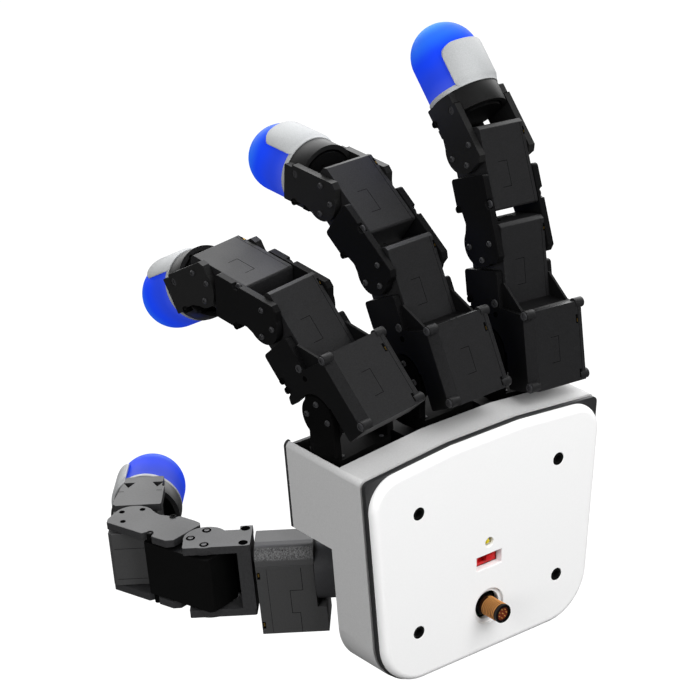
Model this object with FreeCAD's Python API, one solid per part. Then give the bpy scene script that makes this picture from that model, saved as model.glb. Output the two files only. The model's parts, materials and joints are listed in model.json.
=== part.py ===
"""Dexterous robot hand: a palm, three fingers and an opposed thumb.

Lengths are millimetres and angles are degrees.  The palm frame has its
origin under the middle finger: +Z to the finger tips, +X out of the palm,
+Y to the thumb side.  A link is drawn straight in its own frame: x to the
palm side, z to the next joint, and y across, along the flexing axis.
Every piece is exported with the origin moved to the centre of the wrist
bolt pattern on the back cover.
"""
import math
import os

import FreeCAD
import Part

Vector = FreeCAD.Vector

# Finger spacing and the pose in which the hand is stored
finger_pitch = 43.5
outer_tilt = 5.0
finger_base_x = -0.6
middle_rise = 1.13
outer_drop = 1.37
pose_index = (2.6, 42.0, 42.0, 36.0)
pose_middle = (1.6, 26.1, 27.7, 33.6)
pose_ring = (1.4, 12.7, 10.1, 21.2)
pose_thumb = (42.1, 3.7, 35.6, 54.9)

# Joint to joint lengths
knuckle_height = 17.36
proximal_length = 43.6
middle_length = 38.7
thumb_roll_reach = 46.0
thumb_first_reach = 65.4
thumb_second_length = 40.4

# Servo bodies and the ears that hold them
servo_width = 24.2
servo_back = 10.1
servo_front = 8.8
servo_nose = 8.9
servo_nose_bevel = 1.5
servo_tail = 26.2
servo_round = 1.0
ear_gap = 0.25
ear_thickness = 3.15
ear_disc = 9.2
ear_reach = 10.3
horn_radius = 5.8
horn_depth = 1.6
running_gap = 0.05
end_gap = 0.1
face_gap = 0.3

# Knuckle yoke under each finger
yoke_plate = 3.8
yoke_sink = 3.0
yoke_radius = 16.4
yoke_back = 10.0
yoke_front = 8.5
yoke_flare = 2.0
yoke_relief = 1.6
spindle_radius = 6.0
spindle_length = 6.0

# Housing behind the knuckle
housing_back = 25.6
cover_thickness = 3.1
housing_front = 11.2
housing_top = 17.5
housing_bottom = 15.6
shoulder_height = 18.4
shoulder_fall = 0.146
cover_bevel = 3.6
cover_edge = 1.1
boss_radius = 2.15
boss_inset = 1.7
boss_drop = 1.1
boss_stand = 0.6
gusset_height = 10.0
gusset_thickness = 1.2
ramp_height = 2.7
knuckle_block = 9.3

# Side plates above the knuckle
plate_back = 8.9
plate_front = 10.2
plate_corner = 1.5
link_back = 10.5
link_front = 9.2
nick_depth = 2.0
nick_width = 6.0

# Finger tip
tip_radius = 14.5
tip_reach = 42.2
collar_radius = 14.9
collar_wall = 2.0
collar_height = 9.0
collar_top = 23.4
plate_drop = 0.5
tip_offset = 0.3
distal_back = 9.3
distal_front = 7.2
ring_radius = 15.0
ring_height = 1.9
shell_radius = 16.0
shell_half_angle = 47.5
shell_top_offset = 0.3
shell_corner = 5.0
shell_taper = 1.1
shell_taper_height = 3.2
pad_gap = 0.15

# Thumb
thumb_pivot = (2.8, 32.3, -62.2)
thumb_tilt = 5.9
thumb_hub_radius = 9.5
thumb_hub_half = 14.9
thumb_pin_radius = 4.0
thumb_pin_length = 2.8
drum_radius = 13.0
drum_start = 9.0
drum_end = 20.8
roll_servo_start = 17.4
roll_servo_end = 45.0
cap_height = 7.8
cap_round = 5.5
thumb_ear_inner = 12.9
thumb_ear_thickness = 3.4
thumb_web_start = 46.4
thumb_web_thickness = 5.6
thumb_ear_back = 8.7
thumb_ear_front = 8.5
thumb_tip_extra = 14.8
thumb_plate_drop = 3.0
thumb_plate_shift = 1.1
thumb_waist = 5.3
thumb_shell_half_angle = 57.0
thumb_tab_height = 5.2
thumb_link_inner = 12.7
thumb_link_thickness = 3.3
thumb_notch_start = 20.9
thumb_notch_end = 26.4
thumb_notch_depth = 1.8
roll_block_low = 7.4
roll_block_high = 25.2
lug_radius = 9.0
lug_thickness = 3.2
lug_gap = 0.3

# Palm
palm_width = 125.2
palm_front = 16.8
front_plate_thickness = 1.5
shell_rear = 29.5
rim_thickness = 2.9
rim_groove = 0.8
rim_groove_depth = 0.9
rim_inset = 0.3
cover_depth = 3.6
palm_top = 1.75
palm_crown = 18.4
palm_bottom = -99.0
palm_taper = 7.8
palm_corner = 22.0
palm_top_corner = 2.5
shell_wall = 2.0
band_front = 7.85
mouth_rear = 14.8
ledge_height = -41.5
heel_side = 14.0
cover_inset = 0.9
cover_corner = 13.5
cover_round = 2.8
scoop_drop = 5.8
deck_drop = 7.2
deck_pad_radius = 11.0
frame_fit = 0.2
panel_thickness = 1.5

# Wrist mount, lamp, switch and socket on the back
mount_spacing_y = 75.0
mount_spacing_z = 53.7
mount_centre_z = -48.85
mount_hole_radius = 1.65
mount_boss_radius = 2.7
mount_boss_length = 10.0
mount_hole_depth = 8.0
lamp_height = 1.3
lamp_radius = 1.5
lamp_hole = 2.2
window_height = -7.0
window_width = 13.6
window_tall = 6.2
switch_width = 12.6
switch_tall = 5.4
switch_deep = 3.2
slider_width = 3.4
slider_tall = 2.6
slider_stand = 1.4
slider_place = -1.7
switch_travel = 1.5
socket_height = -28.15
socket_recess = 7.9
socket_recess_depth = 1.2
socket_hole = 6.2
socket_radius = 3.9
socket_bore = 3.0
socket_stand = 9.0
socket_nut = 5.0
socket_nut_thickness = 2.4
socket_neck = 3.6
board_thickness = 1.6
board_depth = 6.0

ear_inner = servo_width / 2 + ear_gap
ear_outer = ear_inner + ear_thickness
thumb_link_outer = thumb_link_inner + thumb_link_thickness
cover_face = shell_rear + rim_thickness + cover_depth
mount_shift = Vector(cover_face, 0, -mount_centre_z)


def block(x0, x1, y0, y1, z0, z1):
    """Box between the given planes."""
    return Part.makeBox(x1 - x0, y1 - y0, z1 - z0, Vector(x0, y0, z0))


def rod(radius, start, end):
    """Cylinder from one point to another."""
    direction = Vector(*end) - Vector(*start)
    return Part.makeCylinder(radius, direction.Length, Vector(*start), direction)


def rounded_wire(points):
    """Closed wire through (vector, radius) corners, with tangent arcs."""
    count = len(points)
    edges = []
    ends = []
    for i in range(count):
        corner, radius = points[i]
        before = points[i - 1][0] - corner
        after = points[(i + 1) % count][0] - corner
        before.normalize()
        after.normalize()
        if radius == 0:
            ends.append((corner, corner))
            continue
        half = before.getAngle(after) / 2
        run = radius / math.tan(half)
        start = corner + before * run
        end = corner + after * run
        middle = before + after
        middle.normalize()
        top = corner + middle * (radius / math.sin(half) - radius)
        edges.append((i, Part.Arc(start, top, end).toShape()))
        ends.append((start, end))
    arcs = dict(edges)
    chain = []
    for i in range(count):
        if i in arcs:
            chain.append(arcs[i])
        start = ends[i][1]
        end = ends[(i + 1) % count][0]
        if (end - start).Length > 1e-6:
            chain.append(Part.LineSegment(start, end).toShape())
    return Part.Wire(chain)


def slab_y(points, y0, y1):
    """Plate between two y planes from an (x, z, radius) outline."""
    wire = rounded_wire([(Vector(x, y0, z), r) for x, z, r in points])
    return Part.Face(wire).extrude(Vector(0, y1 - y0, 0))


def slab_x(points, x0, x1):
    """Plate between two x planes from a (y, z, radius) outline."""
    wire = rounded_wire([(Vector(x0, y, z), r) for y, z, r in points])
    return Part.Face(wire).extrude(Vector(x1 - x0, 0, 0))


def slab_z(points, z0, z1):
    """Plate between two z planes from an (x, y, radius) outline."""
    wire = rounded_wire([(Vector(x, y, z0), r) for x, y, r in points])
    return Part.Face(wire).extrude(Vector(0, 0, z1 - z0))


def mirrored(shape):
    """The same shape on the other side of the digit."""
    return shape.mirror(Vector(0, 0, 0), Vector(0, 1, 0))


def both_sides(shape):
    """The shape and its mirror image."""
    return [shape, mirrored(shape)]


def fuse(shapes):
    """One solid from shapes that overlap."""
    result = shapes[0].multiFuse(shapes[1:])
    return result.removeSplitter()


def horn_pair(z):
    """Stub shafts of both ears, which run in a servo's bearing seats."""
    inner = servo_width / 2 - horn_depth + end_gap
    horn = rod(horn_radius, (0, inner, z), (0, ear_inner + 0.5, z))
    return both_sides(horn)


def seat_pair(z):
    """Bearing seats on both sides of a servo."""
    half = servo_width / 2
    seat = rod(horn_radius + running_gap, (0, half - horn_depth, z), (0, half + 1, z))
    return both_sides(seat)


def servo_body(axis_z):
    """Servo housing whose output axis is across the digit at axis_z."""
    half = servo_width / 2
    nose = servo_nose
    outline = [
        (-servo_back, axis_z - servo_tail, servo_round),
        (servo_front, axis_z - servo_tail, servo_round),
        (servo_front, axis_z + nose - 2.0, 0),
        (servo_front - 3.0, axis_z + nose, 0),
        (-servo_back + servo_nose_bevel, axis_z + nose, 0),
        (-servo_back, axis_z + nose - servo_nose_bevel, 0),
    ]
    body = slab_y(outline, -half, half)
    return body.cut(fuse_loose(seat_pair(axis_z)))


def fuse_loose(shapes):
    """Compound of cutters that do not touch."""
    return Part.makeCompound(shapes)


def yoke():
    """Knuckle yoke: spindle, round base and two ears for the knuckle servo."""
    base = rod(yoke_radius, (0, 0, -yoke_sink), (0, 0, yoke_plate - yoke_sink))
    base = base.common(
        block(-yoke_back, yoke_front, -20, 20, -yoke_sink, yoke_plate - yoke_sink)
    )
    top = yoke_plate - yoke_sink
    ear_outline = [
        (-ear_disc, top - 1.0, 0),
        (-ear_disc, knuckle_height, 0),
        (ear_disc, knuckle_height, 0),
        (5.6, knuckle_height - 7.4, 3.0),
        (6.2, top - 1.0, 0),
    ]
    ear = slab_y(ear_outline, ear_inner, ear_outer)
    disc = rod(ear_disc, (0, ear_inner, knuckle_height), (0, ear_outer, knuckle_height))
    foot = yoke_foot(top)
    spindle = rod(spindle_radius, (0, 0, -yoke_sink - spindle_length), (0, 0, 0))
    pieces = [base, spindle]
    band = rod(30, (0, 0, -yoke_sink - 1), (0, 0, top + yoke_relief))
    band = band.cut(rod(yoke_radius, (0, 0, -yoke_sink - 2), (0, 0, top + 4)))
    pieces += both_sides(ear.fuse(disc).fuse(foot).cut(band))
    pieces += horn_pair(knuckle_height)
    return fuse(pieces)


def yoke_foot(top):
    """Cove that flares the outside of an ear into the round base."""
    reach = yoke_radius - ear_outer
    outline = [
        (ear_outer - 0.5, top - 0.5, 0),
        (ear_outer + reach, top - 0.5, 0),
        (ear_outer + reach, top, 0),
        (ear_outer, top + yoke_flare * 2, 0),
        (ear_outer - 0.5, top + yoke_flare * 2, 0),
    ]
    wedge = slab_x(outline, -ear_disc, 6.2)
    cove = rod(
        yoke_flare * 2,
        (-ear_disc - 1, ear_outer + yoke_flare * 2, top + yoke_flare * 2),
        (8, ear_outer + yoke_flare * 2, top + yoke_flare * 2),
    )
    limit = rod(yoke_radius, (0, 0, top - 1), (0, 0, top + 8))
    return wedge.cut(cove).common(limit)


def shoulder(x):
    """Height of the sloping top of the housing at x."""
    return shoulder_height + (x + plate_back) * shoulder_fall


def proximal_side():
    """Outer side plate of the first link, cut clear of the yoke's ear."""
    low = -housing_bottom
    nick_low = housing_top - 3.2
    outline = [
        (plate_front, proximal_length - ear_reach, plate_corner),
        (-plate_back, proximal_length - ear_reach, plate_corner),
        (-plate_back, shoulder(-plate_back), 0),
        (-housing_back + cover_thickness, shoulder(-housing_back + cover_thickness), 0),
        (-housing_back + cover_thickness, low, 0),
        (-housing_front, low, 1.0),
        (-housing_front, 0, 0),
        (0, 0, 0),
        (0, ear_reach, 0),
        (plate_front + 1.6, ear_reach, 1.0),
        (plate_front, nick_low - 0.6, 0),
        (plate_front - nick_depth, nick_low, 0),
        (plate_front - nick_depth, nick_low + nick_width + 1, 0),
        (plate_front, nick_low + nick_width + 1.6, 0),
    ]
    plate = slab_y(outline, ear_inner, ear_outer)
    clear = rod(ear_reach, (0, ear_inner - 1, 0), (0, ear_outer + 1, 0))
    return plate.cut(clear)


def proximal_frame():
    """Both side plates of the first link with gussets and the sloping web."""
    root = -plate_back - 1.3
    foot = root - gusset_height
    gusset = slab_y(
        [
            (-plate_back + 1, shoulder(-plate_back + 1), 0),
            (-plate_back + 1, shoulder_height + gusset_height, 0),
            (root, shoulder_height + gusset_height, 0),
            (foot, shoulder(foot), 0),
        ],
        servo_width / 2 + end_gap,
        servo_width / 2 + end_gap + gusset_thickness,
    )
    front = -servo_back - 0.1
    back = -housing_back + cover_thickness + 1.5
    ramp = slab_y(
        [
            (back, shoulder(back), 0),
            (front, shoulder(front), 0),
            (front, shoulder(front) + ramp_height, 0),
            (back, shoulder(back) + 0.4, 0),
        ],
        -ear_inner - 0.5,
        ear_inner + 0.5,
    )
    hollow_radius = 30.0
    hollow = rod(
        hollow_radius,
        (back + 2.0, -ear_inner - 1, shoulder(back) + 0.8 + hollow_radius),
        (back + 2.0, ear_inner + 1, shoulder(back) + 0.8 + hollow_radius),
    )
    ramp = ramp.cut(hollow)
    pieces = both_sides(proximal_side().fuse(gusset))
    return fuse(pieces + [ramp])


def proximal_housing():
    """Housing behind the knuckle and the servo block between the ears."""
    half = servo_width / 2
    rear = -housing_back + cover_thickness
    side = [
        (rear, -housing_bottom, 0),
        (-housing_front, -housing_bottom, 0),
        (-housing_front, shoulder(-housing_front), 0),
        (rear, shoulder(rear), 0),
    ]
    box = slab_y(side, -ear_inner, ear_inner)
    outline = [
        (-housing_front - 1, -knuckle_block, 0),
        (servo_front, -knuckle_block, 4.0),
        (servo_front, knuckle_block, 4.0),
        (-housing_front - 1, knuckle_block, 0),
    ]
    knuckle = slab_y(outline, -half, half)
    return box.fuse(knuckle).removeSplitter().cut(fuse_loose(seat_pair(0)))


def housing_bosses():
    """Screw bosses on the four corners of the rear cover."""
    bosses = []
    x = -housing_back + boss_inset
    for z in (housing_top - boss_drop, -housing_bottom + boss_radius):
        boss = rod(boss_radius, (x, ear_outer - 4, z), (x, ear_outer + boss_stand, z))
        bosses += both_sides(boss)
    return bosses


def proximal_cover():
    """Rear cover of the housing: one long bevel and four corner bosses."""
    front = -housing_back + cover_thickness
    outline = [
        (-housing_back, -ear_outer + cover_edge, 0),
        (-housing_back + cover_edge, -ear_outer, 0),
        (front, -ear_outer, 0),
        (front, ear_outer, 0),
        (-housing_back, ear_outer - cover_bevel, 0),
    ]
    plate = slab_z(outline, -housing_bottom, housing_top)
    bosses = [boss.common(block(-60, front, -40, 40, -40, 40)) for boss in housing_bosses()]
    return fuse([plate] + bosses)


def middle_side(sign):
    """One side plate of the second link, with the ear of the second joint."""
    top = middle_length - ear_reach
    outline = [
        (-link_back, top, plate_corner),
        (-link_back, -6.0, 0),
        (-link_back + 2.2, -8.2, 0),
        (3.0, -8.2, 0),
        (ear_disc, 0, 0),
        (5.8, 9.4, 2.0),
        (6.6, 14.0, 0),
        (link_front, 17.4, 0),
        (link_front, top, plate_corner),
    ]
    plate = slab_y(outline, ear_inner, ear_outer)
    disc = rod(ear_disc, (0, ear_inner, 0), (0, ear_outer, 0))
    nick = rod(boss_radius, (-link_back, ear_inner + 1.2, 15.9), (-link_back, ear_outer + 1, 15.9))
    inner = servo_width / 2 - horn_depth + end_gap
    horn = rod(horn_radius, (0, inner, 0), (0, ear_inner + 0.5, 0))
    side = fuse([plate, disc, horn]).cut(nick)
    if sign < 0:
        return mirrored(side)
    return side


def tip_collar(offset):
    """Open band that carries the finger tip, with its end wall."""
    top = collar_top + offset
    band = rod(collar_radius, (0, 0, top - collar_height), (0, 0, top))
    inside = rod(
        collar_radius - collar_wall, (0, 0, top - collar_height - 1), (0, 0, top - collar_wall)
    )
    return band.cut(inside)


def distal_side():
    """Ear and side plate of the last finger link."""
    top = collar_top - plate_drop
    outline = [
        (-distal_back + 1.0, top, 0.5),
        (-distal_back + 1.0, top - 4.8, 0),
        (-distal_back, top - 4.8, 0),
        (-distal_back, -6.6, 0),
        (-distal_back + 2.2, -8.7, 0),
        (2.0, -8.7, 0),
        (ear_disc, 0, 0),
        (5.9, 10.0, 2.0),
        (6.0, 14.6, 0),
        (distal_front, 18.4, 0),
        (distal_front, top, 0.5),
    ]
    plate = slab_y(outline, ear_inner, ear_outer)
    disc = rod(ear_disc, (0, ear_inner, 0), (0, ear_outer, 0))
    seat = rod(1.7, (-5.6, ear_outer - 0.8, 16.4), (-5.6, ear_outer + 1, 16.4))
    return plate.fuse(disc).cut(seat)


def distal_frame():
    """Last finger link: two ears joined by the collar under the tip."""
    pieces = both_sides(distal_side())
    pieces += horn_pair(0)
    pieces.append(tip_collar(0))
    return fuse(pieces)


def tip_shell(offset, half_angle):
    """Metal base ring with the half shell that backs the rubber tip."""
    low = collar_top + offset + 0.1
    bend = low + shell_taper_height
    rim = low + ring_height
    top = tip_reach + offset + shell_top_offset
    foot = Part.makeCone(
        shell_radius - shell_taper, shell_radius, shell_taper_height, Vector(0, 0, low)
    )
    outer = foot.fuse(rod(shell_radius, (0, 0, bend), (0, 0, top)))
    ring = rod(ring_radius, (0, 0, low), (0, 0, rim))
    bore = rod(tip_radius + pad_gap, (0, 0, rim), (0, 0, top + 1))
    tube = outer.cut(bore)
    half = math.radians(half_angle)
    side = shell_radius * math.sin(half)
    window = slab_x(
        [
            (-side, low, 0),
            (side, low, 0),
            (side, top, shell_corner),
            (-side, top, shell_corner),
        ],
        -shell_radius - 1,
        -shell_radius * math.cos(half) + 0.4,
    )
    shell = fuse([ring, tube.common(window)])
    shell.translate(Vector(-tip_offset, 0, 0))
    return shell


def tip_pad(offset):
    """Rubber finger tip: a cylinder closed by a dome."""
    low = collar_top + offset + 0.1 + ring_height
    centre = tip_reach + offset
    body = rod(tip_radius, (0, 0, low), (0, 0, centre))
    dome = Part.makeSphere(tip_radius, Vector(0, 0, centre), Vector(0, 0, 1), 0, 90, 360)
    pad = fuse([body, dome])
    pad.translate(Vector(-tip_offset, 0, 0))
    return pad


def thumb_bracket():
    """Fixed bracket in the palm whose two lugs hold the thumb's swing pivot."""
    inner = thumb_hub_half + lug_gap
    outer = inner + lug_thickness
    arm = 24.0
    outline = [
        (-lug_radius, -arm, 0),
        (lug_radius, -arm, 0),
        (lug_radius, 0, 0),
        (-lug_radius, 0, 0),
    ]
    lug = slab_y(outline, inner, outer)
    lug = lug.fuse(rod(lug_radius, (0, inner, 0), (0, outer, 0)))
    bore = rod(thumb_pin_radius + running_gap, (0, inner - 1, 0), (0, outer + 1, 0))
    lug = lug.cut(bore)
    back = block(-lug_radius, lug_radius, -outer, outer, -arm, -thumb_hub_radius - 5.0)
    return fuse(both_sides(lug) + [back])


def thumb_hub():
    """Swing hub with its two pins and the round neck that carries the thumb."""
    hub = rod(thumb_hub_radius, (0, -thumb_hub_half, 0), (0, thumb_hub_half, 0))
    reach = thumb_hub_half + thumb_pin_length
    pins = rod(thumb_pin_radius, (0, -reach, 0), (0, reach, 0))
    drum = rod(drum_radius, (0, 0, drum_start), (0, 0, drum_end))
    neck = rod(thumb_hub_radius - 1, (0, 0, 0), (0, 0, drum_start + 1))
    return fuse([hub, pins, drum, neck])


def roll_servo():
    """Servo in the thumb's base; its output turns about the thumb's length."""
    low = -roll_block_low
    high = roll_block_high
    body = block(-servo_back, servo_front, low, high, roll_servo_start, roll_servo_end)
    notch = block(
        -30, 30, low - 1, drum_radius + end_gap, roll_servo_start - 1, drum_end + face_gap
    )
    seat = rod(
        horn_radius + running_gap,
        (0, 0, roll_servo_end - horn_depth), (0, 0, roll_servo_end + 1),
    )
    return body.cut(notch).cut(seat)


def thumb_cap():
    """Rounded cap over the thumb's base servo."""
    low = -roll_block_low
    profile = [
        (-servo_back, low, 0),
        (servo_front, low, 0),
        (servo_front, low - cap_height + 2.0, 2.0),
        (servo_front - 3.0, low - cap_height, 0),
        (-3.0, low - cap_height, 0),
        (-servo_back, low - cap_height + 0.8, cap_round),
    ]
    return slab_z(profile, drum_end, roll_servo_end)


def thumb_yoke():
    """Yoke that turns on the base servo and holds the first thumb joint."""
    axis = thumb_first_reach
    inner = thumb_ear_inner
    outer = inner + thumb_ear_thickness
    start = thumb_web_start
    outline = [
        (-thumb_ear_back, start, 1.0),
        (thumb_ear_front, start, 0),
        (thumb_ear_front, start + thumb_tab_height, 0),
        (thumb_waist, start + thumb_tab_height, 0),
        (thumb_waist, axis - 7.4, 0),
        (ear_disc - 0.1, axis, 0),
        (0, axis + 9.1, 0),
        (-thumb_ear_back, axis + 8.8, 0.8),
    ]
    ear = slab_y(outline, inner, outer)
    ear = ear.fuse(rod(ear_disc, (0, inner, axis), (0, outer, axis)))
    web = block(
        -thumb_ear_back, thumb_ear_front - 1.2, -inner - 0.5, inner + 0.5,
        start, start + thumb_web_thickness,
    )
    boss = rod(horn_radius, (0, 0, roll_servo_end - horn_depth + end_gap), (0, 0, start + 0.5))
    half = servo_width / 2
    horn = rod(horn_radius, (0, half - horn_depth + end_gap, axis), (0, inner + 0.5, axis))
    return fuse(both_sides(ear) + both_sides(horn) + [web, boss])


def thumb_side(sign):
    """One side plate of the thumb's second link, with its far ear."""
    reach = thumb_second_length
    outline = [
        (-link_back + 0.3, reach + 5.6, 0),
        (-link_back + 0.3, thumb_notch_end, 0),
        (-link_back + 0.3 + thumb_notch_depth, thumb_notch_end - 1.2, 0),
        (-link_back + 0.3 + thumb_notch_depth, thumb_notch_start + 1.2, 0),
        (-link_back + 0.3, thumb_notch_start, 0),
        (-link_back + 0.3, 13.2, 0),
        (-link_back + 2.4, 10.5, 0),
        (5.2, 9.7, 0),
        (7.3, 9.4, 0),
        (link_front, 11.0, 0),
        (link_front + 0.4, 14.0, 0),
        (link_front + 0.4, 22.0, 0),
        (7.4, 24.0, 0),
        (7.4, 26.6, 0),
        (6.2, reach - 9.0, 2.0),
        (ear_disc - 0.4, reach, 0),
        (0, reach + 8.8, 0),
        (-link_back + 2.9, reach + 7.4, 0),
    ]
    plate = slab_y(outline, thumb_link_inner, thumb_link_outer)
    disc = rod(ear_disc - 0.4, (0, thumb_link_inner, reach), (0, thumb_link_outer, reach))
    inner = servo_width / 2 - horn_depth + end_gap
    horn = rod(horn_radius, (0, inner, reach), (0, thumb_link_inner + 0.5, reach))
    side = fuse([plate, disc, horn])
    if sign < 0:
        return mirrored(side)
    return side


def inverted_servo():
    """Servo whose output axis is at z = 0 and whose body runs outwards."""
    half = servo_width / 2
    outline = [
        (-servo_back, -servo_nose + servo_nose_bevel, 0),
        (-servo_back + servo_nose_bevel, -servo_nose, 0),
        (servo_front - 3.0, -servo_nose, 0),
        (servo_front, -servo_nose + 2.0, 0),
        (servo_front, servo_tail, servo_round),
        (-servo_back, servo_tail, servo_round),
    ]
    body = slab_y(outline, -half, half)
    return body.cut(fuse_loose(seat_pair(0)))


def tip_servo():
    """Servo of the thumb's last joint, shortened to fit inside the collar."""
    limit = collar_top + thumb_tip_extra - collar_height - 0.2
    return inverted_servo().common(block(-30, 30, -30, 30, -30, limit))


def thumb_distal_frame():
    """Last thumb link: two notched plates and the collar under the tip."""
    top = collar_top + thumb_tip_extra - thumb_plate_drop
    low = 9.4
    shift = thumb_plate_shift
    outline = [
        (-link_back + 0.6, 14.6, 0),
        (-link_back + 0.6, low + 1.4, 0),
        (-link_back + 2.0, low, 0),
        (link_front + 1.6, low, 0.8),
        (shift + 9.3, top - 9.6, 0),
        (shift + 8.2, top - 9.0, 0),
        (shift + 8.2, top, 1.2),
        (shift - 8.2, top, 1.2),
        (shift - 8.8, top - 5.0, 0),
    ]
    plate = slab_y(outline, thumb_link_inner, thumb_link_outer)
    for x in (shift - 6.2, shift + 6.2):
        cut = slab_y(
            [(x - 2.5, top - 5.2, 0), (x + 2.5, top - 5.2, 0), (x, top - 9.8, 0)],
            thumb_link_inner + 1.2, thumb_link_outer + 1,
        )
        plate = plate.cut(cut)
    return fuse(both_sides(plate) + [tip_collar(thumb_tip_extra)])


def palm_outline(inset, corner, top_corner, clip=None):
    """Palm seen from the back: three top facets, tapered sides, round heel."""
    half = palm_width / 2 - inset
    crown = palm_crown
    top = palm_top - inset
    fall = (palm_width / 2 - crown) * math.tan(math.radians(outer_tilt))
    foot = half - palm_taper
    low = palm_bottom + inset
    return [
        (-half, top - fall, top_corner),
        (-crown, top, 0),
        (crown, top, 0),
        (half, top - fall, top_corner),
        (foot, low, corner),
        (-foot, low, corner),
    ]


def palm_mass(inset, front, rear):
    """Palm body less the recess that the thumb's base swings in."""
    body = slab_x(palm_outline(inset, palm_corner - inset, palm_top_corner), -rear, front)
    recess = block(-band_front - inset, 60, heel_side - inset, 90, -150, ledge_height + inset)
    return body.cut(recess)


def palm_shell():
    """Light side housing: a ring of walls with a ledge over the thumb."""
    outer = palm_mass(0, palm_front, shell_rear)
    inner = palm_mass(shell_wall, palm_front + 1, shell_rear + 1)
    shell = outer.cut(inner)
    half = palm_width / 2 - shell_wall
    mouth = block(-mouth_rear, 60, -half, half, -14, 20)
    shell = shell.cut(mouth)
    return shell.cut(thumb_recess_window()).removeSplitter()


def thumb_recess_window():
    """Opening in the front of the thin part, closed by the dark panel."""
    return block(
        -band_front - shell_wall - 0.01, -band_front + 0.01,
        heel_side - shell_wall - 0.01, palm_width / 2 - palm_taper - 1.5,
        -palm_corner - 66, ledge_height - 0.01,
    )


def front_plate():
    """Thin dark plate over the front of the palm and its heel."""
    full = slab_x(
        palm_outline(0, palm_corner, palm_top_corner),
        palm_front, palm_front + front_plate_thickness,
    )
    recess = block(0, 60, heel_side, 90, -150, ledge_height)
    plate = full.cut(recess)
    scoop = block(0, 60, -palm_width / 2 + 2.5, palm_width / 2 - 2.5, palm_top - scoop_drop, 20)
    return plate.cut(scoop)


def rim_plate():
    """Dark plate between the side housing and the back cover."""
    outline = palm_outline(rim_inset, palm_corner - rim_inset, palm_top_corner)
    neck = palm_outline(rim_groove_depth, palm_corner - rim_groove_depth, palm_top_corner)
    plate = slab_x(outline, -shell_rear - rim_thickness, -shell_rear - rim_groove)
    seat = slab_x(neck, -shell_rear - rim_groove - 0.5, -shell_rear)
    hole = slab_x(palm_outline(9.0, palm_corner - 9, 4.0), -50, 0)
    return fuse([plate, seat]).cut(hole)


def back_cover():
    """Back cover with a wide round edge, ports and bolt holes."""
    rear = cover_face
    front = shell_rear + rim_thickness
    outline = palm_outline(cover_inset, palm_corner - cover_inset, cover_corner)
    cover = slab_x(outline, -rear, -front)
    edge = [e for e in cover.Edges if abs(e.CenterOfMass.x + rear) < 1e-3]
    cover = cover.makeFillet(cover_round, edge)
    for place in mount_places():
        cover = cover.cut(rod(mount_boss_radius + 0.1, (-rear - 1, *place), (-front + 1, *place)))
    z = mount_centre_z
    lamp = rod(lamp_hole, (-rear - 1, 0, z + lamp_height), (-front + 1, 0, z + lamp_height))
    window = block(
        -rear - 1, -front + 1, -window_width / 2, window_width / 2,
        z + window_height - window_tall / 2, z + window_height + window_tall / 2,
    )
    port = (0, z + socket_height)
    recess = rod(socket_recess, (-rear - 1, *port), (-rear + socket_recess_depth, *port))
    hole = rod(socket_hole, (-rear, *port), (-front + 1, *port))
    return cover.cut(fuse_loose([lamp, window])).cut(recess).cut(hole)


def mount_places():
    """The four (y, z) places of the wrist bolts."""
    places = []
    for y in (-mount_spacing_y / 2, mount_spacing_y / 2):
        for dz in (-mount_spacing_z / 2, mount_spacing_z / 2):
            places.append((y, mount_centre_z + dz))
    return places


def mount_bosses():
    """Four tapped bosses that take the wrist bolts."""
    start = -cover_face
    bosses = []
    for place in mount_places():
        boss = rod(mount_boss_radius, (start, *place), (start + mount_boss_length, *place))
        hole = rod(mount_hole_radius, (start - 1, *place), (start + mount_hole_depth, *place))
        bosses.append(boss.cut(hole))
    return Part.makeCompound(bosses)


def finger_base_frames():
    """Frames at the foot of the three finger yokes."""
    frames = []
    for side in (1, 0, -1):
        rise = middle_rise if side == 0 else -outer_drop
        turn = FreeCAD.Rotation(Vector(1, 0, 0), -side * outer_tilt)
        foot = Vector(finger_base_x, side * finger_pitch, rise)
        frames.append(FreeCAD.Placement(foot, turn))
    return frames


def inner_frame():
    """Dark inner frame: a deck under the fingers and a web down the back."""
    inset = shell_wall + frame_fit
    body = palm_mass(inset, palm_front, shell_rear)
    top_cut = slab_x(
        [
            (-90, palm_top - deck_drop - 9, 0),
            (-90, 40, 0),
            (90, 40, 0),
            (90, palm_top - deck_drop - 9, 0),
        ],
        -60, 60,
    )
    deck = slab_x(palm_outline(inset, palm_corner - inset, 0), -60, 60)
    deck.translate(Vector(0, 0, -deck_drop + inset))
    body = body.cut(top_cut.cut(deck))
    lower = block(-band_front - 6, 60, -90, 90, -150, ledge_height + inset)
    body = body.cut(lower)
    for y in (-finger_pitch / 2, finger_pitch / 2):
        slot = block(-11, 11, y - 3.5, y + 3.5, palm_top - deck_drop - 12, 20)
        body = body.cut(slot)
    for frame in finger_base_frames():
        pad = rod(deck_pad_radius, (0, 0, -yoke_sink - 8), (0, 0, -yoke_sink - face_gap))
        pad.Placement = frame
        body = body.fuse(pad)
    for frame in finger_base_frames():
        low = -yoke_sink - spindle_length - 1
        bore = rod(spindle_radius + running_gap, (0, 0, low), (0, 0, 1))
        bore.Placement = frame
        body = body.cut(bore)
    body = body.cut(back_pockets())
    return body.removeSplitter()


def back_pockets():
    """Room in the frame for the bosses, the board and the socket."""
    depth = cover_face - mount_boss_length
    cutters = []
    for place in mount_places():
        cutters.append(rod(mount_boss_radius, (-60, *place), (-depth, *place)))
    z = mount_centre_z
    rear = shell_rear
    room = block(-rear - 1, -rear + board_depth, -16, 16, z + socket_height - 12, z + 8)
    cutters.append(room)
    return Part.makeCompound(cutters)


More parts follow.
